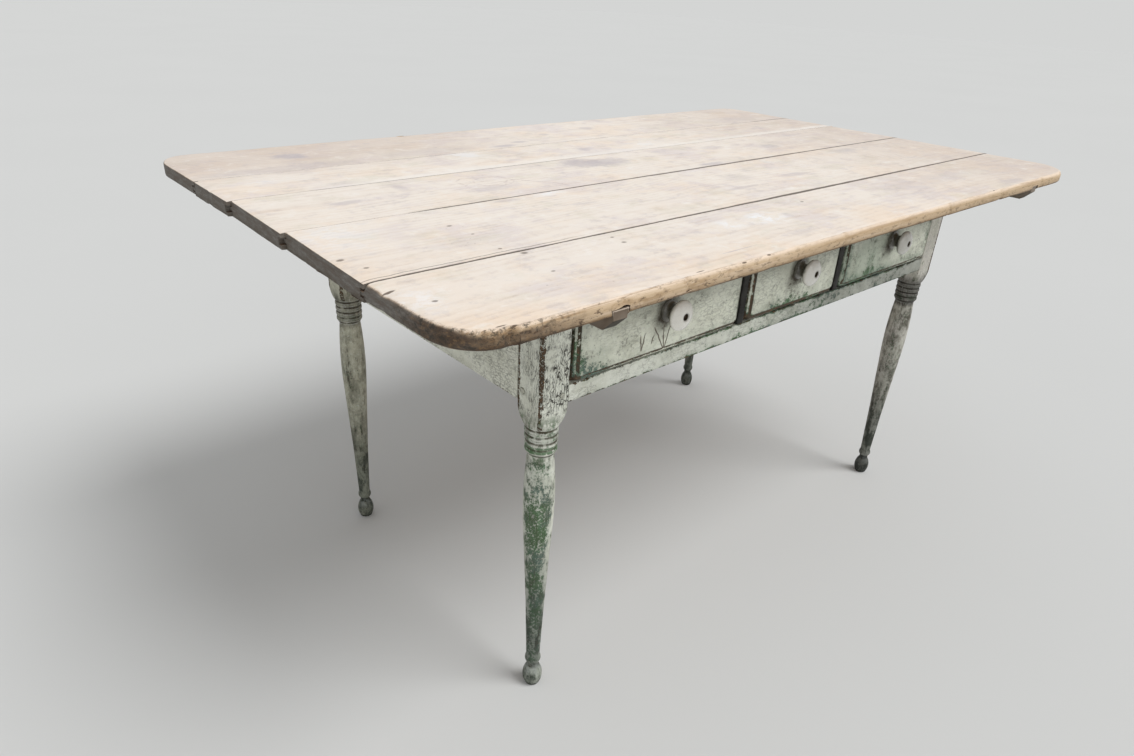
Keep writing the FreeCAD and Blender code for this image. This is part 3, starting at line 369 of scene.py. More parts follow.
class BoardFinish(Finish):
    """A board of the top: pale and scrubbed above, handled brown at the front, grey end grain, dark below."""

    rings_per_metre = 105
    heart_depth = 50 * MM       # how far the heart of the tree lies under the top

    def __init__(self, number, low, high):
        super().__init__(f"scrubbed_board_{number}")
        self.number, self.low, self.high = number, low, high
        seed = self.seed = 3.7 * number
        drift = self.noise((1.3, 2.0, 2.0), (seed, 0, 0), detail=2)
        sway = self.noise((0.9, 1.0, 1.0), (0, seed, 4), detail=2)
        ripple = self.noise((6, 26, 26), (seed, 2, 0), detail=3)
        heart = (low.y + high.y) / 2 + (0.35 - 0.17 * (number * 2 % 5)) * (high.y - low.y)
        aside = self.y - heart + (drift - 0.5) * 0.18
        below = self.z - (TOP_HEIGHT - self.heart_depth) + (sway - 0.5) * 0.08
        growth = (aside * aside + below * below).root() + (ripple - 0.5) * 0.014
        ring = (growth * self.rings_per_metre).fraction()
        self.late_wood = ring.step(0.30, 0.85) * ring.step(1.0, 0.88)
        self.fibre = self.noise((11, 380, 380), (seed, 0, 0), 3, 0.6)
        self.streak = self.noise((5, 46, 46), (0, seed, 0), 4, 0.62)
        self.blotch = self.noise((6, 8, 8), (seed, 1, 5), 6, 0.62)
        self.cool = self.noise((8, 10, 10), (9, seed, 5), 6, 0.66)
        self.dapple = self.noise((34, 42, 42), (2, seed, 5), 5, 0.70)
        self.smudge = self.noise((26, 60, 60), (seed, 6, 0), 6, 0.7)
        self.grain = self.noise((60, 30, 210), (seed, 6, 0), 5, 0.7)
        self.tubes = self.noise((100, 160, 700), (seed, 2, 0), 3, 0.6)
        self.ragged = (self.noise((56, 80, 80), (0, 0, seed), 6, 0.72) - 0.5) * 1.7
        pits = self.cells(self.spread((70, 105, 105), (seed, 0, 0)), "F1")
        self.pit = pits.step(0.12, 0.05) * self.cool.step(0.52, 0.60)
        self.end_on = (abs(self.nx) + (self.dapple - 0.5) * 0.22).step(0.40, 0.74)

    def under_face(self, near, far):
        """From 0 to 1 between two depths under the top, in mm."""
        return self.z.step(TOP_HEIGHT - near * MM, TOP_HEIGHT - far * MM)

    def face(self):
        """The upper side: shades that drift over the table, and the grain."""
        x, y, cool, dapple = self.x, self.y, self.cool, self.dapple
        mossy = self.noise((10, 13, 13), (2, 8, self.seed), 6, 0.68)
        front_glow = y.step(-0.36, -0.455) * 0.35
        left_glow = x.step(-0.60, -0.76) * y.step(0.10, -0.20)
        dull = (x + (cool - 0.5) * 0.5).step(0.10, 0.75) * 0.55
        dull = dull + (y + (cool - 0.5) * 0.2).step(0.16, 0.36) * x.step(0.05, -0.45) * 0.60
        warm = (self.blotch.step(0.47, 0.62) * 0.50 + front_glow + left_glow * 0.35).clip()
        face = (self.mix(warm, "scrubbed", "honey")
                .mix(cool.step(0.48, 0.62) * (1 - left_glow) * 0.60, "weathered")
                .mix(mossy.step(0.52, 0.66) * 0.45, "mossy")
                .mix((dull * (0.55 + 0.9 * self.blotch)).clip(), "handled")
                .mix(self.late_wood * dapple.step(0.36, 0.60) * 0.16, "ring")
                .mix(self.streak.step(0.54, 0.72) * 0.17, "ring")
                .mix(self.fibre.step(0.60, 0.78) * 0.16, "ring")
                .mix(dapple.step(0.52, 0.70) * 0.34, "stain")
                .mix(dapple.step(0.45, 0.28) * 0.45, BLEACHED))
        if self.number == 4:
            band = (y - self.low.y + (dapple - 0.5) * 0.02).step(0.030, 0.010)
            face = face.mix(band * x.step(-0.68, -0.50) * 0.55, (0.93, 0.89, 0.84))
        return face

    def marks(self, face):
        """What use has left on the face: stains, scuffs, nail holes, scratches, pits and dirty seams."""
        low, high, ragged = self.low.y, self.high.y, self.ragged
        for x, y, long, wide, strength in DARK_MARKS:
            if low - wide < y < high + wide:
                mark = self.spot((x, y), (long, wide), ragged, 0.50)
                face = face.mix(mark * (0.45 + 0.5 * self.dapple) * strength, "stain")
        for x, y, long, wide, strength in PALE_MARKS:
            if low < y < high:
                scuff = self.spot((x, y), (long, wide), ragged, 0.9) * self.dapple.step(0.42, 0.56)
                face = face.mix(scuff * strength, CHALKY)
        for x, y, radius in SPECKS:
            if low < y < high:
                speck = self.spot((x, y), (1.4 * radius * MM, radius * MM), ragged * 0.9, 0.4)
                face = face.mix(speck * 0.7, "dark_wood")
        if self.number == 3:
            face = face.mix(self.scratches() * 0.50, "scratch")
        return face.mix(self.pit * 0.30, "dark_wood").mix(self.seam_line(), "burnt")

    def scratches(self):
        """Rings left by a pan and the scratch that leads away from them."""
        marks = 0.0
        for x, y, long, wide, width in PAN_RINGS:
            off = abs(self.reach((x, y), (long, wide)) + self.ragged * 0.22 - 1)
            marks = marks + off.step(width, 0.02) * self.ragged.step(-0.20, 0.16) * 0.6
        slope = abs(self.y - 0.030 + (self.x + 0.335) * 1.15 + self.ragged * 0.010)
        line = slope.step(3.2 * MM, 1.0 * MM) * abs(self.x + 0.312).step(0.032, 0.024)
        return (marks + line * self.ragged.step(-0.30, 0.0)).clip()

    def seam_line(self):
        """How dirty a board is along its seams: the two front seams are open, the others packed."""
        x, number = self.x, self.number
        wander = (self.noise((24, 9, 9), (number, 0, 3), 5, 0.65) - 0.5) * 5 * MM
        thin = x.step(-0.10, -0.55) * 0.6 * MM - abs(x - 0.15).step(0.35, 0.10) * MM
        from_front = self.y - self.low.y
        front = (from_front + wander + thin).step(3.8 * MM, 1.4 * MM)
        second = abs(from_front - 8.5 * MM + wander * 1.6).step(1.5 * MM, 0.5 * MM)
        second = second * x.step(-0.42, -0.52) * 0.55
        tongue = TONGUE if number < 5 else 0
        back = (self.high.y - tongue - self.y + wander + thin).step(3.0 * MM, 1.2 * MM)
        from_b = x.step(-0.60, -0.55)
        to_c = x.step(-0.66, -0.60) * x.step(-0.12, -0.22)
        from_d = x.step(0.58, 0.63)
        return {
            1: back * 0.80,
            2: (front * 0.85 + second + back * from_b * 0.75).clip(),
            3: (front * from_b * 0.75 + back * (0.08 + to_c * 0.30)).clip(),
            4: front * 0.05 + back * from_d * 0.5,
            5: front * from_d * 0.5,
        }[number]

    def rim(self):
        """The rounded edge: honey above, brown below, scuffed, and nearly black at the front left corner; the
        change from honey to brown as the edge turns down is partly painted shade.
        """
        x, smudge = self.x, self.smudge
        lift = self.nz + (smudge - 0.5) * 0.8 + (self.streak - 0.5) * 0.35
        lines = self.noise((7, 190, 190), (self.seed, 1, 2), 4, 0.65)
        scuffs = self.noise((90, 240, 240), (1, self.seed, 2), 5, 0.75)
        leftward = x.step(-0.05, -0.62)
        dots = scuffs.step(0.53, 0.62) * (0.10 + 0.40 * leftward + 0.55 * lift.step(0.45, -0.2))
        scorched = (x + (smudge - 0.5) * 0.10).step(-0.60, -0.70) * lift.step(0.62, -0.14)
        return (self.mix(lift.step(1.05, 0.25), "honey", "nosing")
                .mix(lift.step(0.10, -0.70) * 0.60, "rubbed")
                .mix(lift.step(-0.25, -0.65) * 0.65, "burnt")
                .mix(smudge.step(0.48, 0.60) * (0.20 + 0.35 * leftward), "rubbed")
                .mix(lines.step(0.52, 0.64) * (0.35 + 0.30 * leftward), "rubbed")
                .mix(lines.step(0.44, 0.34) * 0.20, "honey")
                .mix(dots, "dark_wood")
                # Painted shade: the rim darkens further under the face.
                .dim(1 - 0.24 * self.under_face(7, 21))
                .mix(scorched * 0.90, "burnt"))

    def ends(self):
        """End grain: grey and porous, and browner near the front."""
        return (self.mix(self.grain.step(0.36, 0.64) * 0.55, "end_grain", "dark_wood")
                .mix(self.tubes.step(0.52, 0.72) * 0.40, "grime_and_shade")
                .mix((self.grain + self.tubes).step(0.94, 0.76) * 0.35, (0.30, 0.28, 0.26))
                .mix((self.y.step(-0.33, -0.41) * (0.35 + 0.9 * self.smudge)).clip(), "burnt")
                .mix(self.under_face(14, 22) * self.smudge.step(0.40, 0.60) * 0.6, "grime_and_shade"))

    def side(self):
        """The rim and the ends together, with the seams' inner faces dark."""
        inside = self.y.step(0.44, 0.42) * self.y.step(-0.44, -0.42)
        side = self.rim().mix(self.end_on.larger(abs(self.ny) * inside), self.ends())
        if self.number == 1:
            rough = self.noise((120, 120, 170), (self.seed, 4, 1), 6, 0.78)
            near = self.x.step(-0.60, -0.70) * self.y.step(-0.30, -0.40)
            side = side.mix(near * rough.step(0.50, 0.58) * 0.75, "crevice")
            side = side.mix(near * rough.step(0.45, 0.38) * 0.36, "rubbed")
        return side.mix(self.under_face(5, 7) * self.nz.step(0.5, 0.9), "dark_wood")

    def build(self):
        """The whole board's material."""
        smudge, streak, blotch = self.smudge, self.streak, self.blotch
        turned_over = (self.nz + (smudge - 0.5) * 0.24 + (streak - 0.5) * 0.2).step(0.99, 0.84)
        turned_over = turned_over.larger(self.under_face(5, 7))
        base = self.marks(self.face()).mix(turned_over, self.side())
        under = self.mix(streak.step(0.40, 0.62), "old_wood", "dark_wood")
        base = base.mix(self.nz.step(-0.55, -0.9), under)
        for x, y, long, wide in SPLITS:
            if self.low.y - 5 * MM < y < self.high.y:
                split = self.spot((x, y), (long, wide), self.ragged * 0.3, 0.3)
                split = split * self.under_face(7, 4)
                base = base.mix(split * 0.85, "dark_wood")
        height = self.late_wood * 0.12 + self.fibre * 0.40 + self.dapple * 0.50 - self.pit * 0.9
        height = height + smudge * turned_over * 1.5 + (self.grain + self.tubes) * self.end_on * 0.8
        return self.surface(base, 0.50 + 0.16 * blotch + 0.16 * turned_over, height, 0.7 * MM, gloss=0.4)


def seam_wax(number):
    """The wax, flour and dust that packs an old seam."""
    finish = Finish(f"seam_wax_{number}")
    dust = finish.noise((40, 200, 200), (number, 0, 0), 4, 0.65)
    base = finish.mix(dust.step(0.40, 0.66) * 0.5, "scrubbed", "ring")
    base = base.mix(finish.z.step(TOP_HEIGHT - 0.5 * MM, TOP_HEIGHT - 1.4 * MM), "nosing")
    return finish.surface(base, 0.75, dust, 0.3 * MM, gloss=0.3)


def old_paint(finish, seed, wear, green, grime_and_shade, along="z", cell=5.5 * MM, cream="cream", crackle=1.0,
              flaky=0.34, cracked=0.0, wash=0.30):
    """Cream paint over green over bare wood; wear, green, and grime with painted shade say how much of each
    shows, 0 to 1.

    Gives the colour, the roughness and the height of the surface.
    """
    upright = along == "z"
    coarse = finish.noise(10, (seed, 0, 0), 5, 0.62)
    mottle = finish.noise(70, (0, seed, 0), 5, 0.72)
    flake = finish.noise((290, 290, 240), (0, 0, seed), 4, 0.72)
    chips = mottle * (0.84 - flaky) + flake * flaky + coarse * 0.16
    undercoat = (chips - 0.645 + green * 0.19 + wear * 0.15).step(0.0, 0.035)
    bare = (chips - 0.672 + wear * 0.23).step(0.0, 0.022)

    scale = tuple(part / cell for part in lengthwise(along, 0.24 if upright else 0.36, 1))
    crazed = finish.cells(finish.warped(scale, (seed, 0, 0), 1.3, 150)) + (flake - 0.5) * 0.08
    crack = crazed.step(0.12, 0.03) * (coarse * 0.6 + mottle * 0.4).step(0.43 - cracked, 0.56 - cracked)
    small = finish.cells(finish.warped(tuple(2.3 * part for part in scale), (0, seed, 0), 0.9, 380))
    craze = small.step(0.16, 0.04) * mottle.step(0.42 - cracked, 0.54 - cracked)

    dull = finish.noise(17, (seed, seed, 0), 5, 0.62)
    run = finish.noise(lengthwise(along, 9 if upright else 12, 60), (seed, 5, 0), detail=4)
    coat = (finish.mix(dull.step(0.42, 0.66) * 0.45, cream, "aged_cream")
            .mix(run.step(0.50, 0.70) * 0.40, "aged_cream")
            .mix(flake.step(0.54, 0.68) * 0.55, (0.86, 0.87, 0.81))
            .mix((green * wash + coarse.step(0.58, 0.72) * 0.18).clip(), finish.mix(0.5, "green", "teal")))
    hue = (finish.mix(dull.step(0.46, 0.62), "green", "teal")
           .mix(flake.step(0.55, 0.64) * 0.48, (0.50, 0.57, 0.46))
           .mix(flake.step(0.46, 0.36) * 0.55, (0.05, 0.10, 0.05)))
    grain = finish.noise(60, (0, seed, 0), 5, 0.75)
    wood = (finish.mix(grain.step(0.38, 0.62), "dark_wood", "grime_and_shade")
            .mix(flake.step(0.50, 0.66) * 0.5, "old_wood"))
    base = (coat.mix(undercoat, hue).mix(bare, wood)
            .mix((crack * 0.72 + craze * 0.24).clip() * (1 - bare) * crackle, "crevice")
            .mix((grime_and_shade * (0.35 + 1.2 * mottle)).clip(), "grime_and_shade"))

    height = (1 - undercoat) * 0.7 + (1 - bare) * 1.1 - (crack * 0.9 + craze * 0.3) * crackle + mottle * 0.9
    return base, 0.56 + 0.12 * dull + 0.16 * bare, height + flake * 0.35


def box_edges(finish, low, high):
    """Distance from a point on a box's face to the nearest edge of the box."""
    first, second, third = ((end - start) / 2 - abs(place - (start + end) / 2)
                            for place, start, end in zip((finish.x, finish.y, finish.z), low, high))
    lowest = first.smaller(second).smaller(third)
    highest = first.larger(second).larger(third)
    return first + second + third - lowest - highest


def painted_member(name, low, high, seed, along, green, wear, middle, dirt, crackle):
    """Old paint on a straight member, worn through along its edges; green is strongest round middle."""
    finish = Finish(name)
    cream = srgb(228, 230, 218) if along == "x" else "cream"
    ragged = finish.noise(50, (seed, 3, 0), 5, 0.7)
    edge = box_edges(finish, low, high) + (ragged - 0.5) * 12 * MM
    worn = edge.step(3.4 * MM, 0.0) * wear
    patches = finish.noise((7, 7, 12), (seed, 0, 7), 5, 0.65)
    share = patches.step(0.40, 0.66) * green
    if middle:
        centre, reach = middle
        share = share + abs(finish.x - centre).step(reach, reach * 0.5) * 0.75 * patches
    share = (share + edge.step(8 * MM, 1 * MM) * 0.6 * green).clip()
    # Painted shade: faces that look down are darkened with the grime colour.
    grime_and_shade = finish.nz.step(-0.4, -0.9) * 0.5
    if dirt:
        grime_and_shade = (grime_and_shade + dirt * (0.7 + 0.6 * patches)).clip()
    base, *rest = old_paint(finish, seed, worn, share, grime_and_shade, along, 4.5 * MM, cream, crackle)
    # Painted shade with dirt: members set dirtiest are darkened all over, the dividers in the dark gaps
    # between the drawers most.
    base = base.dim(1 - 0.98 * max(0.0, dirt - 0.1))
    if middle:
        base = base.dim(1 - finish.x.step(-0.12, 0.16) * (0.20 + 0.44 * patches))
    return finish.surface(base, *rest, depth=0.55 * MM, gloss=0.35)


LEG_LOOKS = {
    # how green, worn, grimy and shaded, and cracked, the last coat (darker on the legs in shade, as painted
    # shade), and what stays of it on collar, shaft, ankle and foot, as painted shade with dirt
    "leg_front_left": (1.00, 0.25, 0.40, 1.00, (228, 231, 218), (0.86, 0.90, 0.50, 0.66)),
    "leg_front_right": (0.42, 0.36, 0.78, 0.30, (212, 208, 198), (0.28, 0.80, 0.42, 0.20)),
    "leg_back_left": (0.20, 0.35, 0.55, 0.50, (190, 188, 168), (0.60, 0.92, 0.52, 0.50)),
    "leg_back_right": (0.50, 0.45, 0.95, 0.40, (170, 170, 158), (0.45, 0.58, 0.42, 0.30)),
}
# heights on a leg
BEAD_GROOVES = (0.4560, 0.4663, 0.4765, 0.4868, 0.4972)
GREEN_BEAD = 0.4660
COLLAR_FOOT = 0.452
ANKLE = 0.043


class LegFinish(Finish):
    """Old paint on a turned leg: worn on the post's edges, dark in the grooves with dirt and painted shade,
    green down the shaft, darkened downward with painted shade and dirt, with painted highlights on the bead
    rims and the foot.
    """

    def __init__(self, node, seed):
        super().__init__(f"painted_{node}")
        self.seed = seed
        low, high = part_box(node)
        self.greenness, self.worn, self.dirty, self.cracks, coat, self.stays = LEG_LOOKS[node]
        self.coat = srgb(*coat)
        self.axis_x, self.half = (low.x + high.x) / 2, (high.x - low.x) / 2
        self.out_x, self.out_y = self.x - self.axis_x, self.y - (low.y + high.y) / 2
        self.ragged = self.noise((50, 50, 30), (seed, 3, 0), 5, 0.7)
        self.fine = self.noise((120, 120, 90), (seed, 8, 0), 5, 0.75)
        self.tall = self.noise((90, 90, 13), (seed, 4, 2), 5, 0.70)
        self.stained = (self.ragged * 0.4 + self.fine * 0.3 + self.tall * 0.3).step(0.43, 0.58)
        self.shake = (self.fine - 0.5) * 2.4 * MM
        self.shaft = self.z.step(COLLAR_FOOT, COLLAR_FOOT - 12 * MM)
        self.foot = self.z.step(ANKLE + 7 * MM, ANKLE - 1 * MM)
        self.collar = self.z.step(0.530, 0.50) * (1 - self.shaft)
        self.on_post = self.z.step(0.500, 0.525)
        self.low_shaft = self.z.step(0.24, 0.12) * self.z.step(0.045, 0.06)
        self.ankle = abs(self.z - ANKLE).step(7 * MM, 3 * MM)
        self.sole = self.z.step(8 * MM, 2 * MM)

    def arris(self):
        """Where the corners of the post are rubbed, most on the outer ones."""
        across, along = abs(self.out_x), abs(self.out_y)
        nearest = self.half - across.larger(along)
        diagonal = abs(across - along) + nearest.smaller(1 * MM)
        uneven = diagonal + (self.ragged - 0.5) * 11 * MM + (self.fine - 0.5) * 8 * MM
        outer = (self.out_x * (1 if self.axis_x > 0 else -1)).step(-8 * MM, 12 * MM)
        return uneven.step(6.6 * MM, 4.4 * MM) * self.z.step(0.499, 0.503) * (0.30 + 0.70 * outer)

    def green(self):
        """Where the green coat shows: on the shaft's front left side, low down and on the collar."""
        z, ragged, greenness = self.z, self.ragged, self.greenness
        radius = (self.out_x * self.out_x + self.out_y * self.out_y).root()
        belt = self.shaft * z.step(0.10, 0.20) * (0.62 + 0.38 * z.step(0.42, 0.33))
        facing = (self.out_x * -0.66 + self.out_y * -0.75) / radius.larger(1 * MM)
        belly = belt * (facing + (ragged - 0.5) * 1.0 + (self.tall - 0.5) * 1.2).step(0.12, 1.15)
        return ((belly * 1.15 + self.low_shaft * 0.45) * greenness
                + ragged.step(0.44, 0.62) * 0.42 * self.shaft * (0.3 + greenness)
                + abs(z - 0.486).step(14 * MM, 10 * MM) * 0.6 * greenness).clip()

    def beads(self):
        """The grooves of the collar, and the rims of the beads beside them."""
        grooves, rims = 0.0, 0.0
        for height in BEAD_GROOVES:
            off = abs(self.z - height + self.shake)
            grooves = grooves + off.step(2.4 * MM, 0.9 * MM)
            rims = rims + abs(off - 3.2 * MM).step(1.5 * MM, 0.5 * MM)
        return grooves, rims

    def wear(self):
        """Where the paint is worn off: corners, ankle, sole and streaks down the shaft."""
        z, tall, worn = self.z, self.tall, self.worn
        scuff = abs(z - 0.11).step(0.030, 0.010) * tall.step(0.48, 0.58)
        return (self.arris() * 1.2 + worn * tall.step(0.50, 0.62) * self.shaft + self.ankle * 0.7 + self.sole
                + scuff * 0.8 + z.step(0.05, 0.03) * 0.15 + z.step(0.30, 0.10) * worn * 0.5).clip()

    def grime_and_shade(self, grooves):
        """Dirt and painted shade in the grooves, round the ankle and in stains on collar, shaft and foot."""
        dirty, shaft, stained = self.dirty, self.shaft, self.stained
        return (grooves * (0.60 + 0.4 * dirty) * self.ragged.step(0.28, 0.44) + self.ankle * 0.6
                + self.sole * 0.8 + dirty * shaft * stained + self.tall.step(0.60, 0.68) * 0.45 * shaft
                + self.low_shaft * (0.30 + 0.45 * dirty) * stained
                + (0.42 + dirty) * self.collar * stained + self.foot * stained * (0.5 + 0.5 * dirty)).clip()

    def left(self):
        """Painted shade with some dirt: what stays of the paint's brightness on the way down, from the post
        to the foot.
        """
        on_collar, on_shaft, on_ankle, on_foot = self.stays
        left = self.on_post + on_collar * (1 - self.on_post)
        left = left + (on_shaft - on_collar) * self.shaft
        left = left + (on_ankle - on_shaft) * self.z.step(0.37, 0.13)
        return left + (on_foot - on_ankle) * self.foot

    def build(self):
        """The whole leg's material."""
        z, fine, greenness = self.z, self.fine, self.greenness
        grooves, rims = self.beads()
        crackle = 0.25 + (self.cracks * (1.35 - 0.55 * abs(self.nx)) - 0.25) * self.on_post
        base, roughness, height = old_paint(
            self, self.seed, self.wear(), self.green(), self.grime_and_shade(grooves), cell=4.2 * MM, cream=self.coat,
            crackle=crackle, flaky=0.66, cracked=0.025 * self.on_post)
        # Painted highlight: pale lines on the rims of the beads beside the grooves.
        painted_bead_highlight = rims * fine.step(0.46, 0.54) * (1 - grooves) * (1 - 0.45 * self.dirty)
        between = 1 - grooves * 0.7
        blots = (self.ragged * 0.5 + fine * 0.5).step(0.49, 0.56) * self.collar
        band = abs(z - GREEN_BEAD + self.shake).step(6.0 * MM, 4.6 * MM) * fine.step(0.37, 0.46)
        base = (base.mix(painted_bead_highlight.clip() * 0.75, (0.82, 0.82, 0.76))
                .mix(blots * between * greenness * 0.70, "green")
                # Painted highlight on the top of the foot's ball.
                .mix(z.step(0.022, 0.034) * self.foot * fine.step(0.44, 0.54) * 0.55, (0.70, 0.72, 0.68))
                .mix(band * between * greenness * 0.85, "green")
                .mix(z.step(0.24, 0.10) * (0.15 + 0.35 * self.tall), "teal")
                .dim(self.left()))
        return self.surface(base, roughness, height, 0.6 * MM, gloss=0.35)


FRONT_LOOKS = {
    # where green shows most: centre across, half width, top; how green it is; how brown the moulding is;
    # how much the green tints the last coat
    "drawer_1": (0.020, 0.060, 0.050, 0.60, 0.75, 0.35),
    "drawer_2": (0.110, 0.120, 0.030, 0.55, 1.00, 0.35),
    "drawer_3": (0.085, 0.110, 0.085, 0.50, 0.50, 0.85),
}


class FrontFinish(Finish):
    """Old paint on a drawer front: brown along the moulding, green in patches, dark round the knob with dirt
    and painted shade, and painted shade under the top's overhang.
    """

    def __init__(self, drawer, seed):
        super().__init__(f"painted_{drawer}_front")
        self.drawer, self.seed = drawer, seed
        low, high = self.low, self.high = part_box(f"{drawer}_front")
        self.ragged = self.noise(60, (seed, 3, 0), 5, 0.72)
        self.fine = self.noise(130, (seed, 9, 0), 4, 0.72)
        self.patches = self.noise((13, 13, 16), (seed, 0, 7), 5, 0.66)
        self.shaky = (self.ragged - 0.5) * 5 * MM + (self.fine - 0.5) * 3 * MM
        self.left, self.bottom = self.x - low.x, self.z - low.z
        self.upper = high.z - self.z
        self.inward = self.left.smaller(high.x - self.x).smaller(self.bottom.smaller(self.upper))

    def wear(self, brown):
        """Bare wood on the moulding, most at the left and along the bottom, where hands and knees rub."""
        left, bottom, inward, shaky = self.left, self.bottom, self.inward, self.shaky
        handled = (left + shaky).step(13 * MM, 10 * MM).larger((bottom + shaky).step(11 * MM, 9 * MM))
        slope = abs(inward - 7.0 * MM + shaky * 0.5).step(3.0 * MM, 1.4 * MM)
        outside = (inward + shaky * 0.4).step(2.6 * MM, 1.0 * MM)
        plank = (bottom + shaky * 0.5).step(9 * MM, 7 * MM) * (1 if brown > 0.9 else 0.35)
        broken = self.ragged.step(0.62 - 0.30 * brown, 0.68 - 0.30 * brown)
        corner = (left * left + bottom * bottom).step(0.020 ** 2, 0.012 ** 2)
        return (slope * (0.40 + 0.75 * handled) * broken + outside * (0.25 + 0.6 * handled) * broken
                + plank * 0.9 + corner * 0.8 * broken).clip()

    def green(self, centre, width, top, greenness):
        """Where the green coat shows: a patch, the moulding and loose blots."""
        patches, bottom = self.patches, self.bottom
        across = abs(self.left - centre) / width + (patches - 0.5) * 2.6
        patch = across.step(1.3, 0.2) * (bottom + (patches - 0.5) * 0.12).step(top + 0.03, top - 0.03)
        rim = (self.inward + self.shaky * 3).step(28 * MM, 8 * MM)
        return (patch * greenness + rim * 0.70 * patches + patches.step(0.50, 0.66) * 0.35).clip()

    def grime_and_shade(self):
        """Dirt and painted shade round and below the knob, painted shade and soot under the top's overhang, a
        dark line in the moulding's quirk, darker along the left edge, and dark spots.
        """
        low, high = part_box(f"{self.drawer}_knob")
        over, up = self.x - (low.x + high.x) / 2, self.z - (low.z + high.z) / 2
        shaky, ragged, patches = self.shaky, self.ragged, self.patches
        # Dirt and painted shade: darker round the knob and below it.
        ring = ((over * over + up * up).root() + shaky * 2.5).step(32 * MM, 16 * MM) * 0.6
        below = (abs(over + 12 * MM) + shaky * 3).step(28 * MM, 10 * MM) * up.step(0.0, -12 * MM)
        below = below * up.step(-50 * MM, -20 * MM) * 0.45
        quirk = abs(self.inward - 8.6 * MM + shaky * 0.2).step(1.7 * MM, 0.7 * MM)
        quirk = quirk * ragged.step(0.30, 0.44) * 0.9
        # Painted shade with soot: darker under the overhang of the top.
        overhang_shade_and_soot = self.upper.step(50 * MM, 5 * MM) * patches.step(0.38, 0.62) * 0.35
        sides = self.left.step(2.6 * MM, 1.0 * MM) * 0.5
        spots = (self.fine * 0.6 + patches * 0.4).step(0.54, 0.61) * 0.50
        spots = spots + (ragged * 0.5 + patches * 0.5).step(0.54, 0.66) * 0.22
        return (ring + below + quirk + overhang_shade_and_soot + sides + spots).clip()

    def checks(self):
        """Cracks in the paint that fan out from points near the bottom, like tufts of grass."""
        bend = (self.noise(60, detail=3) - 0.5) * 7 * MM
        lines = 0.0
        for foot_x, foot_z, top_z, leans in GRASS_CRACKS:
            up = self.z - foot_z
            span = self.z.step(foot_z - 1 * MM, foot_z + 2 * MM) * self.z.step(top_z, top_z - 8 * MM)
            for lean in leans:
                lines = lines + abs(self.x + bend - foot_x - lean * up).step(1.6 * MM, 0.5 * MM) * span
        return lines.clip()

    def build(self):
        """The whole front's material; its back is bare."""
        *patch, brown, wash = FRONT_LOOKS[self.drawer]
        back_side = self.y.step(self.low.y + 11 * MM, self.low.y + 13 * MM)
        base, roughness, height = old_paint(
            self, self.seed, self.wear(brown) * (1 - back_side), self.green(*patch), self.grime_and_shade(), "x",
            cream=srgb(236, 239, 222), crackle=0.40, flaky=0.42, wash=wash)
        if self.drawer == "drawer_1":
            checks = self.checks()
            base, height = base.mix(checks * 0.85, "dark_wood"), height - checks * 1.6
        # Painted shade: the upper part of the front is darkened under the overhang of the top.
        base = base.dim(1 - (self.upper + self.shaky * 3).step(96 * MM, 34 * MM) * 0.46)
        base = base.mix(back_side, self.mix(self.ragged, "old_wood", "dark_wood"))
        return self.surface(base, roughness, height, 0.6 * MM, gloss=0.35)


def bare_wood(name, low, high, seed, along, dark=0.35, grey=0.0):
    """Unpainted wood that has browned with age, or greyed where air gets at it, with its grain raised."""
    finish = Finish(name)
    fibre = finish.noise(lengthwise(along, 7, 260), (seed, seed, 0), 4, 0.6)
    bands = finish.noise(lengthwise(along, 2, 28), (0, seed, seed), 4, 0.55, twist=0.4)
    blotch = finish.noise(9, (seed, 0, 0), 4, 0.6)
    edge = box_edges(finish, low, high)
    base = (finish.mix(bands.step(0.36, 0.64), "old_wood", "young_wood")
            .mix(fibre.step(0.50, 0.75) * 0.5, "dark_wood")
            .mix(grey, "end_grain")
            .mix(blotch.step(0.42, 0.68) * dark, "dark_wood")
            .mix(edge.step(4 * MM, 0.5 * MM) * 0.3, "grime_and_shade"))
    if grey:
        # Painted shade on faces that look down; the pale edges, paler towards the top, are worn wood with a
        # painted highlight.
        base = base.mix(finish.nz.step(-0.2, -0.7) * 0.85, "crevice")
        arris = (edge + (fibre - 0.5) * 2 * MM).step(1.6 * MM, 0.3 * MM) * finish.z.step(low.z, high.z)
        base = base.mix(arris * 0.5, "honey")
    return finish.surface(base, 0.66 + 0.12 * blotch, fibre * 0.6 + bands * 0.5, 0.5 * MM, gloss=0.3)


KNOB_STAYS = {"drawer_1": 1.0, "drawer_2": 0.85, "drawer_3": 0.66}  # how much of its brightness each knob's glaze keeps
BOLT_RADIUS = 4.9 * MM


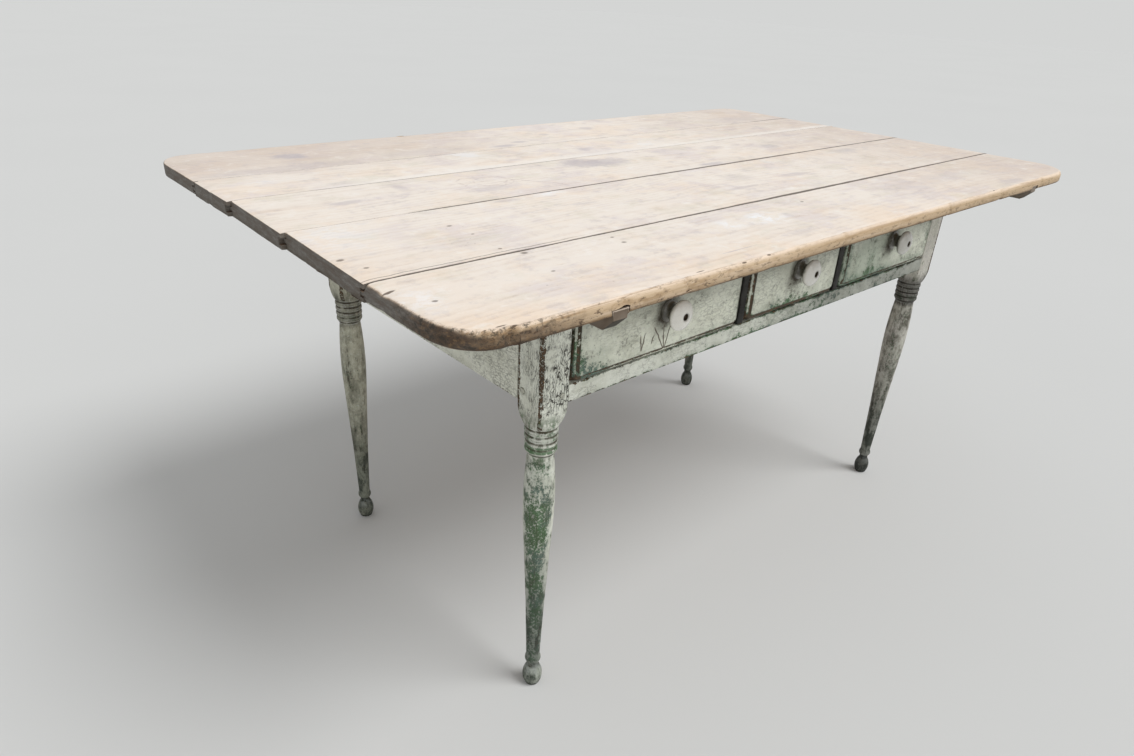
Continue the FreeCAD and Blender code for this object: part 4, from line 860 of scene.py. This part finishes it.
def porcelain(drawer, seed):
    """White glaze with fine crazing, yellowed in patches, and darkened at the neck near the foot and round
    the bolt with dirt and painted shade.
    """
    finish = Finish(f"porcelain_{drawer}")
    low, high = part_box(f"{drawer}_knob")
    y = finish.y
    across, up = finish.x - (low.x + high.x) / 2, finish.z - (low.z + high.z) / 2
    reach = (across * across + up * up).root()
    craze = finish.cells(finish.warped(420, (seed, 0, 0), 0.5, 300)).step(0.035, 0.008)
    dull = finish.noise(70, (seed, 0, 0), 4, 0.6)
    base = finish.mix(dull.step(0.4, 0.7) * 0.30, "porcelain", srgb(214, 211, 198))
    base = base.mix(craze * 0.22, srgb(150, 140, 120)).dim(KNOB_STAYS[drawer])
    # Painted shade with dirt: the neck, behind the knob's face, is darkened.
    neck = (y + (dull - 0.5) * 8 * MM).step(low.y + 8 * MM, low.y + 14 * MM)
    dirt = (dull + abs(y - high.y + 13 * MM).step(9 * MM, 2 * MM) * 0.22).step(0.42, 0.66)
    base = base.mix(neck * (0.84 + 0.13 * dirt), srgb(62, 58, 44))
    # Dirt and painted shade darken the hollow round the bolt.
    hole = reach.step(8.5 * MM, BOLT_RADIUS) * y.step(low.y + 2 * MM, low.y)
    base = base.mix((hole * 0.55 + reach.step(5.2 * MM, BOLT_RADIUS)).clip(), "grime_and_shade")
    wavy = finish.noise(60, (0, seed, 0), detail=2)
    return finish.surface(base, 0.16 + 0.25 * dull * neck, wavy - craze * 0.2, 0.25 * MM, coat=0.5)


def dark_iron(name, seed):
    """Iron that has gone brown and rough."""
    finish = Finish(name)
    rust = finish.noise(420, (seed, 0, 0), 5, 0.7)
    base = finish.mix(rust.step(0.42, 0.62), "iron", srgb(92, 68, 50))
    return finish.surface(base, 0.55 + 0.3 * rust, rust, 0.3 * MM, metallic=0.4)


def peg_wood(name, seed):
    """The pegs: painted over with the posts, worn on their heads."""
    finish = Finish(name)
    parts = old_paint(finish, seed, 0.25, 0.10, 0.18, cell=3 * MM)
    return finish.surface(*parts, depth=0.4 * MM, gloss=0.35)


# ---- meshes ---------------------------------------------------------------------------------------
def only(piece):
    """Make one object the selected and active one."""
    bpy.ops.object.select_all(action="DESELECT")
    piece.select_set(True)
    bpy.context.view_layer.objects.active = piece


def copy_of(node, name):
    """A copy of a CAD node's mesh as a piece of its own, with its loose triangles joined up."""
    piece = bpy.data.objects.new(name, NODES[node].data.copy())
    piece.data.materials.clear()
    piece.data.name = name
    bpy.context.collection.objects.link(piece)
    only(piece)
    bpy.ops.object.mode_set(mode="EDIT")
    bpy.ops.mesh.select_all(action="SELECT")
    bpy.ops.mesh.customdata_custom_splitnormals_clear()
    bpy.ops.mesh.remove_doubles(threshold=0.005 * MM)
    bpy.ops.mesh.dissolve_limited(angle_limit=math.radians(0.5))
    bpy.ops.object.mode_set(mode="OBJECT")
    return piece


def apply_all(piece):
    """Apply a piece's modifiers in their order."""
    only(piece)
    for modifier in list(piece.modifiers):
        bpy.ops.object.modifier_apply(modifier=modifier.name)


def cloud(name, size, depth=2):
    """A clouds texture with features of one size."""
    texture = bpy.data.textures.new(name, "CLOUDS")
    texture.noise_scale = size
    texture.noise_depth = depth
    texture.noise_basis = "IMPROVED_PERLIN"
    return texture


def roughen(piece, name, size, strength, level, group=""):
    """Push the surface in and out by clouds of one size."""
    modifier = piece.modifiers.new(name, "DISPLACE")
    modifier.texture = cloud(f"{piece.name}_{name}", size)
    modifier.texture_coords = "LOCAL"
    modifier.strength = strength
    modifier.mid_level = level
    modifier.vertex_group = group


def smooth(piece, angle=40):
    """Smooth shading, with a crease where faces meet at more than an angle."""
    only(piece)
    bpy.ops.object.shade_smooth_by_angle(angle=math.radians(angle))


def dress(piece, material, body, slot, *nodes):
    """Give a finished piece its finish and its body, and hide the nodes it replaces."""
    piece.data.materials.clear()
    piece.data.materials.append(material)
    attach(piece, body)
    if nodes:
        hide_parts(*nodes)


def paint_node(node, material):
    """Give a CAD node a finish where its shape stays."""
    mesh = NODES[node].data
    mesh.materials.clear()
    mesh.materials.append(material)


def weigh(piece, name, weight):
    """A vertex group whose weights come from a function of each point."""
    group = piece.vertex_groups.new(name=name)
    for vertex in piece.data.vertices:
        group.add([vertex.index], weight(vertex.co), "REPLACE")
    return name


def even_places(low, high, step):
    """Places between two ends, as evenly spaced as the step allows."""
    count = round((high - low) / step)
    return [low + (high - low) * number / count for number in range(1, count)]


def cut_across(piece, axis, places):
    """Cut a mesh into slices at these places, so that its edges can be worn unevenly."""
    only(piece)
    bpy.ops.object.mode_set(mode="EDIT")
    for cut in places:
        place = Vector((0, 0, 0))
        place[axis] = cut
        normal = Vector((0, 0, 0))
        normal[axis] = 1
        bpy.ops.mesh.select_all(action="SELECT")
        bpy.ops.mesh.bisect(plane_co=place, plane_no=normal)
    bpy.ops.object.mode_set(mode="OBJECT")


# nicks and dents in the rim of the top: centre x, centre y, reach, depth
NICKS = (
    (-0.712, -0.462, 9 * MM, 4.5 * MM),
    (-0.762, -0.314, 13 * MM, 2.0 * MM),
    (-0.560, -0.462, 12 * MM, 1.8 * MM),
    (-0.455, -0.462, 8 * MM, 2.2 * MM),
    (-0.290, -0.462, 14 * MM, 1.6 * MM),
    (-0.120, -0.462, 9 * MM, 2.2 * MM),
    (0.040, -0.462, 14 * MM, 1.5 * MM),
    (0.205, -0.462, 8 * MM, 2.4 * MM),
    (0.410, -0.462, 12 * MM, 1.8 * MM),
    (0.600, -0.462, 9 * MM, 2.0 * MM),
    (-0.774, -0.120, 9 * MM, 2.2 * MM),
    (-0.774, 0.190, 10 * MM, 2.4 * MM),
    (0.774, 0.120, 10 * MM, 2.2 * MM),
    (-0.300, 0.462, 11 * MM, 2.0 * MM),
    (0.350, 0.462, 12 * MM, 2.2 * MM),
)


RIM_REACH = 14 * MM             # how far in from the rim a board is worn
DEEPEST_KNOCK = 5 * MM


def worn_board(number, sizes):
    """A top board with uneven rims and nicks."""
    node = f"top_board_{number}"
    low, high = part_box(node)
    piece = copy_of(node, f"worn_board_{number}")
    nicks = [nick for nick in NICKS if low.y - 5 * MM < nick[1] < high.y + 5 * MM]
    cut_across(piece, 0, even_places(low.x, high.x, sizes.board_step)
               + [x + step * reach for x, _, reach, _ in nicks for step in (-0.75, -0.35, 0, 0.35, 0.75)])
    cut_across(piece, 1, even_places(low.y, high.y, sizes.board_step)
               + [low.y + 2 * MM, high.y - 9 * MM]
               + [y + step * reach for _, y, reach, _ in nicks for step in (-0.7, -0.3, 0, 0.3, 0.7)])

    def near_rim(point):
        """1 on the board's outer rim, falling to 0 where the wear ends."""
        gap = min(point.x - low.x, high.x - point.x)
        if number == 1:
            gap = min(gap, point.y - low.y)
        if number == 5:
            gap = min(gap, high.y - point.y)
        return max(0.0, 1 - gap / RIM_REACH)

    def near_nick(point):
        """How deep the deepest nick is here, as a share of the deepest knock."""
        deepest = 0.0
        for x, y, reach, depth in nicks:
            off = math.hypot(point.x - x, point.y - y) / reach
            deepest = max(deepest, (1 - off) * depth)
        return deepest / DEEPEST_KNOCK

    rims = weigh(piece, "rims", near_rim)
    roughen(piece, "long_wear", 0.11, -sizes.board_wear * 0.75, 0.0, rims)
    roughen(piece, "short_wear", 0.022, -sizes.board_wear * 0.40, 0.0, rims)
    knocks = piece.modifiers.new("knocks", "DISPLACE")
    knocks.strength = -DEEPEST_KNOCK
    knocks.mid_level = 0
    knocks.vertex_group = weigh(piece, "knocks", near_nick)
    apply_all(piece)
    smooth(piece, 35)
    return piece


def wax_strip(number, low, high):
    """The dirt packed into a seam: a strip with an uneven top."""
    bpy.ops.object.select_all(action="DESELECT")
    bpy.ops.mesh.primitive_cube_add(size=1, location=(low + high) / 2, scale=high - low)
    piece = bpy.context.object
    bpy.ops.object.transform_apply(location=True, rotation=True, scale=True)
    piece.name = piece.data.name = f"seam_wax_{number}"
    cut_across(piece, 0, even_places(low.x, high.x, 6 * MM))
    top = weigh(piece, "top", lambda point: 1.0 if point.z > high.z - 0.1 * MM else 0.0)
    roughen(piece, "settling", 0.03, -0.6 * MM, 0.42, top)
    piece.modifiers["settling"].direction = "Z"
    apply_all(piece)
    return piece


def softened(node, name, width):
    """A copy of a straight member with its edges rubbed round."""
    piece = copy_of(node, name)
    bevel = piece.modifiers.new("rubbed", "BEVEL")
    bevel.width = width
    bevel.segments = 2
    bevel.limit_method = "ANGLE"
    bevel.angle_limit = math.radians(50)
    apply_all(piece)
    smooth(piece)
    return piece


def thick_painted(node, name, grid, build):
    """A copy of a node with every edge filled and softened by coats of paint."""
    piece = copy_of(node, name)
    remesh = piece.modifiers.new("coats", "REMESH")
    remesh.mode = "VOXEL"
    remesh.voxel_size = grid
    remesh.use_smooth_shade = True
    roughen(piece, "brushing", 0.028, -build, 0.0)
    roughen(piece, "chipping", 0.007, -build * 0.6, 0.0)
    apply_all(piece)
    return piece


def nail_head(name, place, radius, rise):
    """A low crowned disc with a rubbed edge."""
    bpy.ops.object.select_all(action="DESELECT")
    bpy.ops.mesh.primitive_cylinder_add(vertices=18, radius=radius, depth=rise, location=place)
    piece = bpy.context.object
    piece.name = piece.data.name = name
    bevel = piece.modifiers.new("crown", "BEVEL")
    bevel.width = rise * 0.45
    bevel.segments = 3
    apply_all(piece)
    bpy.ops.object.transform_apply(location=True, rotation=True, scale=True)
    smooth(piece)
    return piece


def join(pieces, name):
    """Join several pieces into one."""
    bpy.ops.object.select_all(action="DESELECT")
    for piece in pieces:
        piece.select_set(True)
    bpy.context.view_layer.objects.active = pieces[0]
    bpy.ops.object.join()
    pieces[0].name = name
    return pieces[0]


# ---- operators ------------------------------------------------------------------------------------
class TABLE_OT_top(bpy.types.Operator):
    """Wear the boards of the top and scrub them pale"""

    bl_idname = "table.top"
    bl_label = "Top boards"

    def execute(self, context):
        for number in range(1, 6):
            low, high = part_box(f"top_board_{number}")
            piece = worn_board(number, context.scene.table_sizes)
            dress(piece, BoardFinish(number, low, high).build(), "frame", "top_wood", f"top_board_{number}")
        return {"FINISHED"}


class TABLE_OT_seams(bpy.types.Operator):
    """Pack the two back seams of the top with wax and dust"""

    bl_idname = "table.seams"
    bl_label = "Packed seams"

    # board behind the seam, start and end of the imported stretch, and how many mm it lies under the face
    stretches = (
        (3, -0.766, -0.590, 0.12),
        (4, -0.766, -0.640, 0.12),
        (4, -0.640, -0.150, 0.7),
        (4, -0.150, 0.770, 0.12),
        (5, -0.765, 0.618, 0.12),
    )
    end_gap = 8 * MM
    slack = 0.02 * MM
    depth = 6 * MM

    def execute(self, context):
        for index, (number, start, end, drop) in enumerate(self.stretches):
            low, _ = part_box(f"top_board_{number}")
            ahead_low, ahead_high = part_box(f"top_board_{number - 1}")
            top = TOP_HEIGHT - drop * MM
            start = max(start, low.x + self.end_gap, ahead_low.x + self.end_gap)
            near = Vector((start, ahead_high.y - TONGUE + self.slack, top - self.depth))
            piece = wax_strip(index + 1, near, Vector((end, low.y - self.slack, top)))
            dress(piece, seam_wax(index + 1), "frame", "top_wood")
        return {"FINISHED"}


class TABLE_OT_battens(bpy.types.Operator):
    """Soften the battens under the top and let them darken"""

    bl_idname = "table.battens"
    bl_label = "Battens and pins"

    def execute(self, context):
        for seed, place, dark in ((5, "left", 0.80), (6, "right", 0.95)):
            node = f"top_batten_{place}"
            piece = softened(node, f"old_batten_{place}", context.scene.table_sizes.rail_softness)
            material = bare_wood(f"batten_wood_{place}", *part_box(node), seed, "y", dark, grey=0.8)
            dress(piece, material, "frame", "top_wood", node)
        paint_node("top_pins", bare_wood("pin_wood", *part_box("top_pins"), 9, "x"))
        return {"FINISHED"}


class TABLE_OT_nails(bpy.types.Operator):
    """Drive nails through the top into the battens"""

    bl_idname = "table.nails"
    bl_label = "Nails"

    places = ((-0.575, -0.144), (-0.577, -0.256), (-0.562, -0.287), (-0.575, -0.357), (-0.572, 0.030),
              (-0.574, 0.180), (-0.571, 0.330), (-0.569, 0.415), (0.568, -0.380), (0.566, -0.200),
              (0.569, -0.020), (0.565, 0.170), (0.567, 0.350), (-0.424, -0.297), (-0.426, -0.321))
    rise = 1.2 * MM
    sunk = 0.05 * MM

    def execute(self, context):
        radius = context.scene.table_sizes.nail_radius
        height = TOP_HEIGHT - self.rise / 2 - self.sunk
        heads = [nail_head(f"nail_{index}", (x, y, height), radius, self.rise)
                 for index, (x, y) in enumerate(self.places)]
        dress(join(heads, "top_nails"), dark_iron("nail_iron", 2), "frame", "iron")
        return {"FINISHED"}


class TABLE_OT_legs(bpy.types.Operator):
    """Lay old paint on the turned legs"""

    bl_idname = "table.legs"
    bl_label = "Legs"

    def execute(self, context):
        sizes = context.scene.table_sizes
        for number, node in enumerate(LEGS):
            piece = thick_painted(node, f"painted_{node}", sizes.leg_grid, sizes.paint_build)
            dress(piece, LegFinish(node, 11 + 2.3 * number).build(), "frame", "painted_wood", node)
        return {"FINISHED"}


class TABLE_OT_rails(bpy.types.Operator):
    """Lay old paint on the aprons, rails and dividers"""

    bl_idname = "table.rails"
    bl_label = "Rails and aprons"

    # how the paint runs, how green and how worn it is, where it is greenest, how dirty and shaded (painted
    # shade, strongest on the dividers) and how cracked
    members = (
        ("end_apron_left", "y", 0.08, 0.6, None, 0.0, 0.6),
        ("end_apron_right", "y", 0.35, 0.7, None, 0.1, 0.5),
        ("back_apron", "x", 0.20, 0.7, None, 0.0, 0.5),
        ("front_rail_lower", "x", 0.30, 0.8, (0.100, 0.420), 0.0, 0.45),
        ("front_rail_upper", "x", 0.10, 0.6, None, 0.3, 0.4),
        ("drawer_divider_1", "z", 0.3, 0.9, None, 1.0, 0.3),
        ("drawer_divider_2", "z", 0.3, 0.9, None, 1.0, 0.3),
    )

    def execute(self, context):
        for number, (node, *looks) in enumerate(self.members):
            piece = softened(node, f"painted_{node}", context.scene.table_sizes.rail_softness)
            material = painted_member(f"paint_{node}", *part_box(node), 21 + 1.7 * number, *looks)
            dress(piece, material, "frame", "painted_wood", node)
        paint_node("frame_pegs", peg_wood("peg_paint", 4))
        return {"FINISHED"}


class TABLE_OT_bearers(bpy.types.Operator):
    """Let the runners, guides and kickers inside the frame brown with age"""

    bl_idname = "table.bearers"
    bl_label = "Runners and kickers"

    def execute(self, context):
        kinds = ("drawer_runner", "drawer_kicker", "drawer_guide")
        for number, node in enumerate(sorted(name for name in NODES if name.startswith(kinds))):
            paint_node(node, bare_wood(f"bearer_wood_{number}", *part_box(node), 31 + number, "y"))
        return {"FINISHED"}


class TABLE_OT_drawers(bpy.types.Operator):
    """Finish the drawers: painted fronts and bare insides"""

    bl_idname = "table.drawers"
    bl_label = "Drawers"

    inner = (("side_left", "y"), ("side_right", "y"), ("back", "x"), ("bottom", "x"))

    def execute(self, context):
        sizes = context.scene.table_sizes
        for number, drawer in enumerate(DRAWERS):
            node = f"{drawer}_front"
            piece = thick_painted(node, f"painted_{node}", sizes.drawer_grid, sizes.paint_build)
            dress(piece, FrontFinish(drawer, 41 + 3.1 * number).build(), drawer, "painted_wood", node)
            for index, (part, along) in enumerate(self.inner):
                node = f"{drawer}_{part}"
                seed = 51 + 4 * number + index
                paint_node(node, bare_wood(f"wood_{node}", *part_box(node), seed, along, dark=0.25))
        return {"FINISHED"}


class TABLE_OT_knobs(bpy.types.Operator):
    """Glaze the knobs and rust their bolts"""

    bl_idname = "table.knobs"
    bl_label = "Knobs"

    def execute(self, context):
        for number, drawer in enumerate(DRAWERS):
            paint_node(f"{drawer}_knob", porcelain(drawer, 61 + 1.9 * number))
            iron = dark_iron(f"bolt_iron_{number}", 71 + number)
            for part in ("bolt", "nut"):
                paint_node(f"{drawer}_knob_{part}", iron)
        return {"FINISHED"}


class TABLE_OT_stage(bpy.types.Operator):
    """Set out the floor, the light and the camera"""

    bl_idname = "table.stage"
    bl_label = "Floor, light and view"

    eye = (-1.12256, -0.98977, 1.03959)
    yaw, pitch, roll = 0.739892, 0.470159, 0.0542462
    floor_width = 60
    # how many degrees wide a lamp looks, and where it stands
    key_lamp = (30, (0.30, -0.50, 0.80))
    front_lamp = (60, (-0.30, -0.90, 0.25))
    lamp_distance = 3

    def execute(self, context):
        settings = context.scene.table_stage
        self.add_floor(settings)
        self.add_light(context, settings)
        self.add_camera(context, settings)
        return {"FINISHED"}

    def add_floor(self, settings):
        bpy.ops.object.select_all(action="DESELECT")
        bpy.ops.mesh.primitive_plane_add(size=self.floor_width)
        floor = bpy.context.object
        floor.name = "floor"
        finish = Finish("floor_grey")
        cloudy = finish.noise(0.8, detail=3)
        shade = tuple(settings.floor)
        base = finish.mix(cloudy * 0.5, shade, tuple(0.93 * part for part in shade))
        floor.data.materials.append(finish.surface(base, 1.0, gloss=0.0))

    def add_light(self, context, settings):
        """Even light from all round, a large lamp above and a wide one in front; cameras see the backdrop."""
        world = bpy.data.worlds.new("soft_light")
        world.use_nodes = True
        nodes, links = world.node_tree.nodes, world.node_tree.links
        even = nodes["Background"]
        even.inputs["Color"].default_value = (1, 1, 1, 1)
        even.inputs["Strength"].default_value = settings.sky
        seen = nodes.new("ShaderNodeBackground")
        seen.inputs["Color"].default_value = (*settings.backdrop, 1)
        seen.inputs["Strength"].default_value = 1
        path = nodes.new("ShaderNodeLightPath")
        share_seen = path.outputs["Is Camera Ray"]
        for kind in ("Is Glossy Ray", "Is Transmission Ray"):
            either = nodes.new("ShaderNodeMath")
            either.operation = "MAXIMUM"
            links.new(share_seen, either.inputs[0])
            links.new(path.outputs[kind], either.inputs[1])
            share_seen = either.outputs[0]
        choice = nodes.new("ShaderNodeMixShader")
        links.new(share_seen, choice.inputs[0])
        links.new(even.outputs[0], choice.inputs[1])
        links.new(seen.outputs[0], choice.inputs[2])
        links.new(choice.outputs[0], nodes["World Output"].inputs["Surface"])
        context.scene.world = world
        self.add_lamp(context, "key_lamp", settings.key_light, *self.key_lamp)
        self.add_lamp(context, "front_lamp", settings.front_light, *self.front_lamp)

    def add_lamp(self, context, name, power, breadth, direction):
        lamp = bpy.data.lights.new(name, "SUN")
        lamp.energy = power
        lamp.angle = math.radians(breadth)
        holder = bpy.data.objects.new(name, lamp)
        holder.rotation_euler = Vector(direction).to_track_quat("Z", "Y").to_euler()
        holder.location = self.lamp_distance * Vector(direction)
        context.collection.objects.link(holder)

    def add_camera(self, context, settings):
        lens = bpy.data.cameras.new("view")
        lens.lens = settings.focal_length
        lens.sensor_width = 36
        lens.sensor_fit = "HORIZONTAL"
        camera = bpy.data.objects.new("view", lens)
        level = math.cos(self.pitch)
        right = Vector((math.cos(self.yaw), -math.sin(self.yaw), 0))
        ahead = Vector((math.sin(self.yaw) * level, math.cos(self.yaw) * level, -math.sin(self.pitch)))
        up = right.cross(ahead)
        tilted_right = math.cos(self.roll) * right + math.sin(self.roll) * up
        tilted_up = math.cos(self.roll) * up - math.sin(self.roll) * right
        turn = Matrix((tilted_right, tilted_up, -ahead)).transposed()
        camera.matrix_world = Matrix.Translation(self.eye) @ turn.to_4x4()
        context.collection.objects.link(camera)
        context.scene.camera = camera


PIECES = (TABLE_OT_stage, TABLE_OT_top, TABLE_OT_seams, TABLE_OT_battens, TABLE_OT_nails, TABLE_OT_legs,
          TABLE_OT_rails, TABLE_OT_bearers, TABLE_OT_drawers, TABLE_OT_knobs)


class TABLE_PT_panel(bpy.types.Panel):
    """The table's pieces and settings"""

    bl_idname = "TABLE_PT_panel"
    bl_label = "Farm Kitchen Table"
    bl_space_type = "VIEW_3D"
    bl_region_type = "UI"
    bl_category = "Table"

    def draw(self, context):
        for piece in PIECES:
            self.layout.operator(piece.bl_idname)
        for group in ("table_sizes", "table_colours", "table_stage"):
            settings = getattr(context.scene, group)
            box = self.layout.box()
            for name in settings.__annotations__:
                box.prop(settings, name)


GROUPS = {"table_sizes": TableSizes, "table_colours": TableColours, "table_stage": TableStage}


def register():
    for item in (*GROUPS.values(), *PIECES, TABLE_PT_panel):
        bpy.utils.register_class(item)
    for name, group in GROUPS.items():
        setattr(bpy.types.Scene, name, bpy.props.PointerProperty(type=group))


def unregister():
    for name in GROUPS:
        delattr(bpy.types.Scene, name)
    for item in (TABLE_PT_panel, *reversed(PIECES), *reversed(GROUPS.values())):
        bpy.utils.unregister_class(item)


def main():
    register()
    bpy.context.scene.view_settings.view_transform = "Standard"
    for piece in PIECES:
        group, name = piece.bl_idname.split(".")
        getattr(getattr(bpy.ops, group), name)()


if __name__ == "__main__":
    main()
